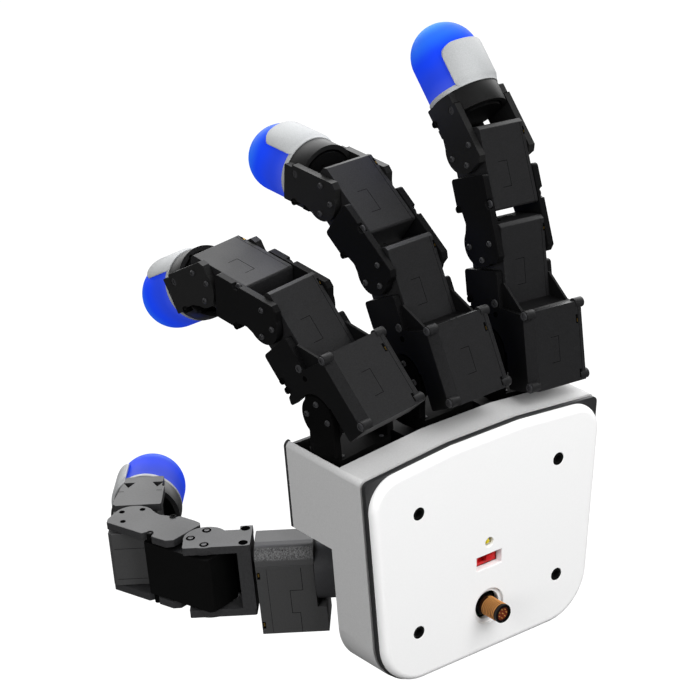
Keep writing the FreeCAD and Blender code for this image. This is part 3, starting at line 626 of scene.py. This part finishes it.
def run_tree(host: Object, tree: bpy.types.NodeTree, values: dict[str, object]) -> None:
    """Evaluate a tree on an object and keep the result as its plain mesh.

    Args:
        host: Object that carries the points; its mesh is replaced.
        tree: The geometry node tree.
        values: Value of each named input.
    """
    modifier = host.modifiers.new("nodes", "NODES")
    modifier.node_group = tree
    for item in tree.interface.items_tree:
        if item.in_out == "INPUT" and item.name in values:
            modifier[item.identifier] = values[item.name]
    host.update_tag()
    bpy.context.view_layer.update()
    graph = bpy.context.evaluated_depsgraph_get()
    mesh = bpy.data.meshes.new_from_object(host.evaluated_get(graph), depsgraph=graph)
    host.modifiers.remove(modifier)
    host.data = mesh


@dataclass(frozen=True)
class Head:
    """Sizes of one kind of screw head, in millimetres."""

    label: str
    radius: float
    height: float
    drive: float
    depth: float
    crown: float = 0.8
    sides: int = 6
    finish: str = "screw_black"
    slot: str = "black_frame"


BUTTON = Head("button_screws", 1.3, 0.85, 0.62, 0.45, 0.72)
SOCKET = Head("socket_screws", 1.75, 0.5, 1.0, 0.4, 0.92)
# The side screws wear the darker, painted-shade black of the yokes.
NUB = Head("side_screws", 1.55, 3.3, 0.95, 0.8, 0.95, 6, "yoke_black")
SMALL = Head("small_screws", 0.95, 0.25, 0.45, 0.2, 0.85)
PIT = Head("black_pits", 1.2, 0.08, 1.0, 0.06, 1.0, 20, "seam_black", "dark_core")
WIDE_PIT = Head("wide_pits", 1.95, 0.06, 1.75, 0.04, 1.0, 20, "seam_black", "dark_core")
SMALL_PIT = Head("servo_pits", 0.75, 0.06, 0.6, 0.04, 1.0, 16, "seam_black", "dark_core")
SUNK = Head("sunk_screws", 1.1, 0.16, 0.75, 0.12, 0.9)


@dataclass
class Hardware:
    """Collects screw places by body and kind, and makes them with nodes."""

    palette: Palette
    places: dict[tuple[str, Head], list[tuple[Vector, Vector]]] = field(default_factory=dict)

    def put(self, body: str, head: Head, at: Matrix, point: Point, facing: Point) -> None:
        """Note one screw.

        Args:
            body: CAD body it rides on.
            head: Its kind.
            at: Frame of its link.
            point: Foot of the head, in that frame.
            facing: Direction the head looks in, in that frame.
        """
        look = (at.to_3x3() @ Vector(facing)).normalized()
        centre = metres(at, point) + look * head.height * MM / 2
        self.places.setdefault((body, head), []).append((centre, look))

    def both(self, body: str, head: Head, at: Matrix, spot: Spot, y: float) -> None:
        """Note a screw on each flank at the spot (x, z), its foot y from the middle."""
        x, z = spot
        for side in Side:
            self.put(body, head, at, (x, side.value * y, z), (0, side.value, 0))

    def make(self) -> None:
        """Make one mesh for each body and kind."""
        tree = screw_tree()
        for (body, head), spots in self.places.items():
            name = body + "_" + head.label
            mesh = bpy.data.meshes.new(name)
            mesh.from_pydata([spot for spot, _ in spots], [], [])
            facing = mesh.attributes.new("facing", "FLOAT_VECTOR", "POINT")
            for i, (_, look) in enumerate(spots):
                facing.data[i].vector = look
            piece = enter(name, mesh)
            run_tree(piece, tree, {
                "Radius": head.radius * MM, "Height": head.height * MM, "Crown": head.crown,
                "Drive": head.drive * MM, "Depth": head.depth * MM, "Sides": head.sides,
                "Material": self.palette[head.finish],
            })
            settle(piece, body)


@dataclass
class Inlays:
    """Thin seams, slots and contact pads that lie on flat faces."""

    palette: Palette
    meshes: dict[tuple[str, str, str], bmesh.types.BMesh] = field(default_factory=dict)
    seam_rise: float = 0.03
    slot_rise: float = 0.05
    pad_rise: float = 0.09
    root: float = 0.2

    def _mesh(self, body: str, label: str, finish: str) -> bmesh.types.BMesh:
        """The mesh that collects one body's inlays of one kind."""
        return self.meshes.setdefault((body, label, finish), bmesh.new())

    def slab(self, body: str, label: str, finish: str, at: Matrix, low: Point,
             high: Point) -> None:
        """Add a block between two corners given in a link's frame."""
        bm = self._mesh(body, label, finish)
        size = [high[i] - low[i] for i in range(3)]
        middle = Vector([(high[i] + low[i]) / 2 for i in range(3)])
        made = bmesh.ops.create_cube(bm, size=1.0)
        for vert in made["verts"]:
            local = Vector([vert.co[i] * size[i] for i in range(3)]) + middle
            vert.co = metres(at, tuple(local))

    def disc(self, body: str, label: str, finish: str, at: Matrix, foot: Point, head: Point,
             radius: float) -> None:
        """Add a round plate whose axis runs from foot to head in a link's frame."""
        bm = self._mesh(body, label, finish)
        way = Vector(head) - Vector(foot)
        middle = (Vector(head) + Vector(foot)) / 2
        spin = way.to_track_quat("Z", "Y").to_matrix().to_4x4()
        made = bmesh.ops.create_cone(bm, cap_ends=True, segments=48, radius1=radius,
                                     radius2=radius, depth=way.length)
        for vert in made["verts"]:
            vert.co = metres(at, tuple(spin @ vert.co + middle))

    def seam(self, body: str, at: Matrix, points: list[Point], width: float, axis: int) -> None:
        """Add a panel seam through points on a face that looks along an axis.

        Args:
            body: CAD body the face belongs to.
            at: Frame of its link.
            points: Corners of the seam, in that frame.
            width: Width of the dark line.
            axis: Index of the axis that the face looks along.
        """
        reach = [self.seam_rise if i == axis else width / 2 for i in range(3)]
        for a, b in zip(points, points[1:]):
            low = tuple(min(a[i], b[i]) - reach[i] for i in range(3))
            high = tuple(max(a[i], b[i]) + reach[i] for i in range(3))
            self.slab(body, "seams", "seam_black", at, low, high)

    def contact(self, body: str, at: Matrix, x: float, slot: tuple[Spot, Spot],
                pad: tuple[Spot, Spot]) -> None:
        """Add a dark slot and the gold contact in it to a back face.

        Args:
            body: CAD body the face belongs to.
            at: Frame of its link.
            x: Place of the face, in that frame.
            slot: Lower and upper corner (y, z) of the slot.
            pad: The same two corners of the contact.
        """
        for label, finish, rise, (low, high) in (("slots", "seam_black", self.slot_rise, slot),
                                                 ("contacts", "gold", self.pad_rise, pad)):
            self.slab(body, label, finish, at, (x - rise, *low), (x + self.root, *high))

    def make(self) -> None:
        """Turn what was collected into pieces."""
        for (body, label, finish), bm in self.meshes.items():
            piece = to_object(body + "_" + label, bm, self.palette[finish])
            settle(piece, body)


@dataclass
class Finger:
    """Details on one finger.

    A spot on a flank is (x, z) and a spot on a back face is (y, z), both in
    the frame of the link.  Each row of flank_screws names the link, the kind
    of screw, its spot and how far its foot lies outside the flank.
    """

    digit: Digit
    skeleton: Skeleton
    hardware: Hardware
    inlays: Inlays
    flank: float = 15.5
    screw_ring: float = 6.15
    servo_back: float = 10.1
    cover_back: float = 25.6
    foot_screw: Point = (-7.2, 10.6, 0.8)
    flank_screws: tuple[tuple[str, Head, Spot, float], ...] = (
        ("proximal", SOCKET, (-6.5, 20.0), 0.0),
        ("proximal", PIT, (-6.4, 15.4), 0.0),
        ("proximal", NUB, (8.4, 16.3), -2.9),
        ("proximal", NUB, (8.4, 20.6), -2.9),
        ("proximal", SOCKET, (-23.9, 16.4), 0.6),
        ("proximal", SOCKET, (-23.9, -13.45), 0.6),
        ("middle", NUB, (8.2, 15.8), -2.9),
        ("middle", SOCKET, (-9.0, 15.9), -1.95),
        ("distal", NUB, (6.6, 16.5), -2.9),
        ("distal", SOCKET, (-5.6, 16.4), -0.8),
    )
    seam_width: float = 0.16
    edge_seam_width: float = 0.14
    step_half: float = 5.3
    cover_slots: tuple[float, float] = (10.2, -12.6)
    first_servo: Spot = (31.5, 52.4)
    second_servo: Spot = (26.6, 47.5)
    collar_depth: float = 3.0
    collar_disc: tuple[float, float, float] = (13.3, 14.6, 11.8)
    collar_step: tuple[Point, Point] = ((9.2, -12.3, 10.9), (10.0, 12.3, 14.6))
    seal: tuple[float, float, float] = (12.14, 12.32, 11.4)

    def body(self, link: str) -> str:
        """Name of the CAD body of one link."""
        return f"{self.digit.value}_{link}"

    def screws(self) -> None:
        """Screws on the ears, the side plates and the housing."""
        knuckle, first, second, last = self.skeleton.finger(self.digit)
        frames = {"proximal": first, "middle": second, "distal": last}
        ring = self.screw_ring
        top = self.skeleton.knuckle
        both = self.hardware.both
        for spot in ((-ring, top), (ring, top), (0, top + ring)):
            both(self.body("knuckle"), BUTTON, knuckle, spot, self.flank)
        for spot in ((-ring, 0), (ring, 0), (0, -ring)):
            both(self.body("middle"), BUTTON, second, spot, self.flank)
            both(self.body("distal"), BUTTON, last, spot, self.flank)
        x, y, z = self.foot_screw
        for point in ((x, -y, z), (x, y, z)):
            self.hardware.put(self.body("knuckle"), SMALL, knuckle, point, (0, 0, 1))
        for link, head, spot, outward in self.flank_screws:
            both(self.body(link), head, frames[link], spot, self.flank + outward)

    def stepped_seam(self, body: str, at: Matrix, x: float, ends: Spot, middle: float) -> None:
        """Seam on a back face at x, round three sides of a field between two y's."""
        near, far = ends
        low, high = middle - self.step_half, middle + self.step_half
        step = [(x, far, high), (x, near, high), (x, near, low), (x, far, low)]
        self.inlays.seam(body, at, step, self.seam_width, 0)

    def servo_face(self, link: str, at: Matrix, middle: float, top: float) -> None:
        """Seams, contact pad and pit on the back of a servo.

        Args:
            link: Link that the servo rides on.
            at: That link's frame.
            middle: Height of the middle of the stepped seam.
            top: Height of the servo's upper edge.
        """
        x = -self.servo_back
        body = self.body(link)
        self.stepped_seam(body, at, x, (0.7, 5.4), middle)
        edge = [(x, -10.3, top - 1.6), (x, -10.3, middle - 14.0)]
        self.inlays.seam(body, at, edge, self.edge_seam_width, 0)
        self.inlays.contact(body, at, x, ((-12.0, top - 6.6), (-11.1, top - 3.4)),
                            ((-11.9, top - 6.0), (-11.35, top - 5.0)))
        self.hardware.put(body, SMALL_PIT, at, (-8.2, 11.2, top + 1.4), (-0.2, 0, 1))

    def seams(self) -> None:
        """Seams on the housing and on both servos, and the dark fillers."""
        _, first, second, last = self.skeleton.finger(self.digit)
        body = self.body("proximal")
        x = -self.cover_back
        self.stepped_seam(body, first, x, (-0.5, 3.8), 0.0)
        edge = [(x, -12.6, 17.0), (x, -12.6, -15.2)]
        self.inlays.seam(body, first, edge, self.seam_width, 0)
        for z in self.cover_slots:
            self.inlays.contact(body, first, x, ((-12.2, z - 1.8), (-11.1, z + 1.8)),
                                ((-12.0, z - 1.3), (-11.5, z + 0.2)))
        self.servo_face("proximal", first, *self.first_servo)
        self.servo_face("middle", second, *self.second_servo)
        self.fillers(body, first, last)

    def fillers(self, body: str, first: Matrix, last: Matrix) -> None:
        """Collar seams, and near-black discs and blocks under the fingertip's collar and at the
        knuckle that paint the shade there.
        """
        distal = self.body("distal")
        for side in Side:
            y = side.value * self.flank
            inner = y - side.value * self.collar_depth
            self.inlays.slab(distal, "seams", "seam_black", last, (-9.35, min(y, inner), 17.85),
                             (-9.2, max(y, inner), 18.1))
        low, high, radius = self.collar_disc
        self.inlays.disc(distal, "collar_floor", "hidden_servo", last, (-0.3, 0, low),
                         (-0.3, 0, high), radius)
        self.inlays.slab(distal, "collar_floor", "hidden_servo", last, *self.collar_step)
        low, high, radius = self.seal
        for side in Side:
            s = side.value
            self.inlays.disc(body, "bearing_seals", "hidden_servo", first, (0, s * low, 0),
                             (0, s * high, 0), radius)

    def build(self) -> None:
        """Note every detail of the finger."""
        self.screws()
        self.seams()
        LOG.info("finger %s detailed", self.digit.value)


@dataclass
class Thumb:
    """Details on the thumb, with spots as on a finger."""

    skeleton: Skeleton
    hardware: Hardware
    inlays: Inlays
    yoke_flank: float = 16.3
    link_flank: float = 16.0
    screw_ring: float = 6.15
    tab_holes: float = 49.3
    tip_shift: float = 1.1
    screw_stand: float = 0.02
    nubs: tuple[Spot, Spot] = ((-8.1, 23.4), (7.6, 24.6))
    nub_inset: float = 3.0
    tip_screws: tuple[Spot, Spot] = ((-6.2, 26.6), (6.2, 26.6))
    tip_screw_inset: float = 1.95
    notches: tuple[float, float] = (-7.8, 8.6)
    notch_half: float = 1.2
    notch_heights: tuple[float, float] = (22.0, 22.25)
    webs: tuple[tuple[Point, Point], ...] = (
        ((5.4, -13.4, 50.5), (8.2, 13.4, 55.3)),
        ((7.3, -13.4, 55.2), (8.2, 13.4, 55.9)),
    )
    servo_back: float = 10.1
    block_step: tuple[Spot, ...] = (
        (-6.2, 26.5), (4.5, 26.5), (4.5, 31.8), (15.4, 31.8), (15.4, 28.5), (25.0, 28.5)
    )
    block_edge: tuple[Spot, ...] = ((-6.2, 40.6), (25.0, 40.6))
    block_contacts: tuple[float, float] = (-3.2, 20.8)
    tip_seams: tuple[float, float] = (-5.1, 9.2)

    def build(self) -> None:
        """Note every detail of the thumb."""
        base, yoke, second, last = self.skeleton.thumb()
        first = self.skeleton.thumb_first
        reach = self.skeleton.thumb_second
        ring = self.screw_ring
        both = self.hardware.both
        for spot in ((-ring, first), (ring, first), (0, first + ring)):
            both("thumb_knuckle", WIDE_PIT, yoke, spot, self.yoke_flank)
            both("thumb_knuckle", SUNK, yoke, spot, self.yoke_flank + self.screw_stand)
        for x in (-ring, ring):
            both("thumb_knuckle", WIDE_PIT, yoke, (x, self.tab_holes), self.yoke_flank)
        for spot in ((-ring, reach), (ring, reach), (0, reach + ring)):
            both("thumb_middle", PIT, second, spot, self.link_flank)
        for spot in self.nubs:
            both("thumb_middle", NUB, second, spot, self.link_flank - self.nub_inset)
        for x, z in self.tip_screws:
            both("thumb_distal", SMALL, last, (x + self.tip_shift, z),
                 self.link_flank - self.tip_screw_inset)
        self.notch_seams(last)
        # Near-black webs on the yoke: painted shade behind the joint.
        for low, high in self.webs:
            self.inlays.slab("thumb_knuckle", "web", "hidden_servo", yoke, low, high)
        self.block_face(base)
        self.tip_face(last)
        LOG.info("thumb detailed")

    def notch_seams(self, last: Matrix) -> None:
        """Short seams on both flanks, at the foot of the last frame's notches."""
        half = self.notch_half
        low, high = self.notch_heights
        for x in self.notches:
            for side in Side:
                s = side.value
                y = s * self.link_flank
                ends = sorted((y + s * self.inlays.seam_rise, y - s * self.inlays.slot_rise))
                self.inlays.slab("thumb_distal", "seams", "seam_black", last,
                                 (x - half, ends[0], low), (x + half, ends[1], high))

    def block_face(self, base: Matrix) -> None:
        """Seams and contact pads on the back of the base servo."""
        x = -self.servo_back
        body = "thumb_base"
        self.inlays.seam(body, base, [(x, *spot) for spot in self.block_step], 0.2, 0)
        self.inlays.seam(body, base, [(x, *spot) for spot in self.block_edge], 0.12, 0)
        for y in self.block_contacts:
            self.inlays.contact(body, base, x, ((y - 1.6, 43.4), (y + 1.6, 44.6)),
                                ((y - 1.2, 43.7), (y + 0.4, 44.3)))

    def tip_face(self, last: Matrix) -> None:
        """Panel seams on the back and under the foot of the last servo."""
        x = -self.servo_back
        for y in self.tip_seams:
            self.inlays.seam("thumb_distal", last, [(x, y, 27.4), (x, y, -6.8)], 0.16, 0)
            self.inlays.seam("thumb_distal", last, [(-7.9, y, -8.9), (6.0, y, -8.9)], 0.16, 2)


@dataclass
class WristSocket:
    """Thread, end ring and pins of the round socket on the back."""

    skeleton: Skeleton
    palette: Palette
    centre_z: float = -77.0
    cover_face: float = 36.0
    stand: float = 9.0
    radius: float = 3.9
    bore: float = 3.0
    turns: float = 8.5
    ridge: float = 0.21
    ridge_lift: float = 0.05
    bare_end: float = 0.9
    thread_start: float = 0.6
    ring_sides: int = 40
    pins: int = 7
    pin_ring: float = 1.95
    pin_radius: float = 0.27
    pin_depth: float = 0.8

    def thread(self) -> None:
        """Wind the thread's ridge over the smooth barrel."""
        piece = enter("socket_thread", bpy.data.meshes.new("socket_thread"))
        run_tree(piece, thread_tree(), {
            "Radius": (self.radius + self.ridge_lift) * MM,
            "Length": (self.stand - self.bare_end) * MM,
            "Turns": self.turns, "Ridge": self.ridge * MM, "Material": self.palette["copper"],
        })
        foot = -self.cover_face + self.thread_start
        start = metres(self.skeleton.palm(), (foot, 0, self.centre_z))
        piece.data.transform(Matrix.Translation(start) @ turn("Y", -90))
        settle(piece, "palm")

    def end_ring(self) -> None:
        """Black end ring round the contacts, its profile given as (radius, depth)."""
        bm = bmesh.new()
        palm = self.skeleton.palm()
        end = -self.cover_face - self.stand
        wide, narrow = self.radius + 0.18, self.bore - 0.06
        profile = [(self.radius - 0.4, 1.3), (wide, 1.1), (wide, 0.25), (self.radius - 0.1, 0.03),
                   (self.bore + 0.1, 0.03), (narrow, 0.15), (narrow, 0.85)]
        rings = []
        for i in range(self.ring_sides):
            angle = math.tau * i / self.ring_sides
            places = [(end + depth, r * math.cos(angle), self.centre_z + r * math.sin(angle))
                      for r, depth in profile]
            rings.append([bm.verts.new(metres(palm, place)) for place in places])
        for a, b in zip(rings, rings[1:] + rings[:1]):
            for j in range(len(profile)):
                k = (j + 1) % len(profile)
                bm.faces.new((a[j], b[j], b[k], a[k]))
        piece = to_object("socket_end_ring", bm, self.palette["ring_black"])
        settle(piece, "palm")

    def contacts(self, hardware: Hardware) -> None:
        """Gold pins in the insert."""
        pin = Head("socket_pins", self.pin_radius, 0.55, 0.1, 0.05, 0.6, 8, "pin_gold", "copper")
        at = self.skeleton.palm()
        foot = -self.cover_face - self.stand + self.pin_depth
        hardware.put("palm", pin, at, (foot, 0, self.centre_z), (-1, 0, 0))
        for i in range(self.pins):
            angle = math.tau * (i + 0.5) / self.pins
            y = self.pin_ring * math.cos(angle)
            z = self.centre_z + self.pin_ring * math.sin(angle)
            hardware.put("palm", pin, at, (foot, y, z), (-1, 0, 0))

    def build(self, hardware: Hardware) -> None:
        """Make the socket's details."""
        self.thread()
        self.end_ring()
        self.contacts(hardware)
        LOG.info("wrist socket detailed")


@dataclass
class Solids:
    """Gives every CAD node its finish and soft edges."""

    palette: Palette
    skeleton: Skeleton
    edge: float = 0.22
    own: dict[str, str] = field(default_factory=lambda: {
        "thumb_cap": "thumb_cap",
        "thumb_roll_servo": "thumb_servo",
        "thumb_last_servo": "thumb_servo",
        # The first thumb servo lies in shadow and is painted near black.
        "thumb_first_servo": "hidden_servo",
        # The hub takes the lighter screw finish: painted light that brings out the drum's form.
        "thumb_hub": "screw_black",
        "socket_barrel": "copper_root",
        "palm_rim": "rim",
        **{f"thumb_{part}": "thumb_frame"
           for part in ("yoke", "plate_upper", "plate_lower", "distal_frame")},
        **{f"{digit.value}_yoke": "yoke_black" for digit in FINGERS},
        **{f"{digit.value}_distal_frame": "distal_black" for digit in FINGERS},
    })
    no_bevel: tuple[str, ...] = ("status_lamp", "socket_barrel", "socket_insert", "service_board")
    dome_x: float = -0.3
    finger_dome: float = 42.2
    thumb_dome: float = 57.0
    weld_gap: float = 0.01
    flat_angle: float = 0.4
    edge_angle: float = 40.0

    def glow(self, digit: Digit) -> bpy.types.Material:
        """The rubber material of one tip, centred on its dome."""
        if digit is Digit.THUMB:
            last, reach = self.skeleton.thumb()[-1], self.thumb_dome
        else:
            last, reach = self.skeleton.finger(digit)[-1], self.finger_dome
        centre = last @ shift(self.dome_x, 0, reach)
        return GlowFinish("glowing_rubber_" + digit.value, centre).build()

    def soften(self, node: Object) -> None:
        """Weld, flatten and bevel a node without touching its own mesh."""
        weld = node.modifiers.new("weld", "WELD")
        weld.merge_threshold = self.weld_gap * MM
        flat = node.modifiers.new("flat", "DECIMATE")
        flat.decimate_type = "DISSOLVE"
        flat.angle_limit = math.radians(self.flat_angle)
        bevel = node.modifiers.new("bevel", "BEVEL")
        bevel.width = self.edge * MM
        bevel.segments = 2
        bevel.limit_method = "ANGLE"
        bevel.angle_limit = math.radians(self.edge_angle)
        bevel.use_clamp_overlap = True

    def build(self) -> None:
        """Dress every node."""
        slots = {part["node"]: part["material_slot"] for part in frame["record"]["subparts"]}
        for name, node in frame["nodes"].items():
            slot = slots[name]
            if slot == "tip_rubber":
                material = self.glow(Digit(name.split("_")[0]))
            else:
                material = self.palette[self.own.get(name, slot)]
            node.data.materials.clear()
            node.data.materials.append(material)
            if name not in self.no_bevel and slot != "tip_rubber":
                self.soften(node)
        LOG.info("%d nodes dressed", len(slots))


@dataclass(frozen=True)
class Studio:
    """Camera, lamps, backdrop and floor.

    The camera's angles are in radians, the sizes of lamps and floor in metres.
    """

    target: Point = (57.86, 24.73, 74.335)
    azimuth: float = -2.25259
    elevation: float = 0.42885
    roll: float = -0.01171
    distance: float = 1229.86
    lens: float = 156.43
    floor: float = -170.0
    floor_size: float = 8.0
    floor_dark: float = 0.06
    floor_shadow: float = 0.14
    floor_glow: float = 0.93
    lamp_distance: float = 1.5
    sky_way: Point = (0.706, -0.573, 0.416)
    sky_span: Spot = (0.5, 0.92)
    sky_light: Spot = (0.05, 3.4)

    def axes(self) -> tuple[Vector, Vector, Vector]:
        """Right, up and back of the camera."""
        ce, se = math.cos(self.elevation), math.sin(self.elevation)
        ca, sa = math.cos(self.azimuth), math.sin(self.azimuth)
        back = Vector((sa * ce, -ca * ce, se))
        right = Vector((ca, sa, 0))
        up = back.cross(right)
        cr, sr = math.cos(self.roll), math.sin(self.roll)
        return right * cr + up * sr, up * cr - right * sr, back

    def camera(self) -> None:
        """Place the camera at the photograph's angle."""
        right, up, back = self.axes()
        data = bpy.data.cameras.new("camera")
        data.sensor_width = 36.0
        data.lens = self.lens
        data.clip_start = 0.05
        data.clip_end = 30.0
        camera = enter("camera", data)
        aim = Matrix((right, up, back)).transposed().to_4x4()
        place = (Vector(self.target) + back * self.distance) * MM
        camera.matrix_world = Matrix.Translation(place) @ aim
        bpy.context.scene.camera = camera

    def lamp(self, name: str, direction: Point, size: float, power: float) -> None:
        """Add a soft area lamp aimed at the hand, left out of reflections.

        Args:
            name: Lamp's name.
            direction: Direction from the hand to the lamp.
            size: Side of the lamp in metres.
            power: Power in watts.
        """
        data = bpy.data.lights.new(name, "AREA")
        data.size = size
        data.energy = power
        lamp = enter(name, data)
        way = Vector(direction).normalized()
        lamp.location = Vector(self.target) * MM + way * self.lamp_distance
        lamp.rotation_euler = way.to_track_quat("Z", "Y").to_euler()
        lamp.visible_glossy = False

    def world(self) -> None:
        """White backdrop to the eye; a softer, one-sided sky to the surfaces."""
        world = bpy.data.worlds.new("studio")
        bpy.context.scene.world = world
        world.use_nodes = True
        graph = Graph(world.node_tree)
        white = graph.add("ShaderNodeBackground", {"Color": (1, 1, 1, 1)})
        dot = graph.add("ShaderNodeVectorMath", {1: self.sky_way}, operation="DOT_PRODUCT")
        graph.link(graph.add("ShaderNodeTexCoord"), "Generated", dot, 0)
        light = graph.remap(dot, "Value", self.sky_span, self.sky_light)
        sky = graph.add("ShaderNodeBackground")
        graph.link(light, "Result", sky, "Strength")
        graph.divide(graph.add("ShaderNodeOutputWorld"), white, sky)

    def ground(self) -> None:
        """Pale floor well below the hand that reads white to the eye."""
        bpy.ops.mesh.primitive_plane_add(size=self.floor_size, location=(0, 0, self.floor * MM))
        floor = bpy.context.object
        floor.name = "studio_floor"
        material = bpy.data.materials.new("pale_floor")
        material.use_nodes = True
        graph = Graph(material.node_tree)
        dark, shadow = (graph.add("ShaderNodeBsdfDiffuse", {"Color": (tone, tone, tone, 1)})
                        for tone in (self.floor_dark, self.floor_shadow))
        glow = graph.add("ShaderNodeEmission", {"Strength": self.floor_glow})
        pale = graph.add("ShaderNodeAddShader")
        graph.link(shadow, 0, pale, 0)
        graph.link(glow, 0, pale, 1)
        graph.divide(graph.add("ShaderNodeOutputMaterial"), pale, dark)
        floor.data.materials.append(material)

    def build(self) -> None:
        """Set up the whole studio."""
        self.camera()
        self.world()
        self.ground()
        self.lamp("key", direction=(-0.8, -0.25, 0.7), size=1.6, power=39.5)
        self.lamp("fill", direction=(-0.2, 0.9, 0.35), size=1.0, power=19.0)
        bpy.context.scene.view_settings.view_transform = "Standard"


def main() -> None:
    """Build the studio, dress the solids and add every detail."""
    logging.basicConfig(level=logging.INFO, format="%(name)s: %(message)s")
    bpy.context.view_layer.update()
    skeleton = SKELETON
    palette = Palette()
    Studio().build()
    Solids(palette, skeleton).build()
    hardware = Hardware(palette)
    inlays = Inlays(palette)
    for digit in FINGERS:
        Finger(digit, skeleton, hardware, inlays).build()
    Thumb(skeleton, hardware, inlays).build()
    WristSocket(skeleton, palette).build(hardware)
    hardware.make()
    inlays.make()


if __name__ == "__main__":
    main()
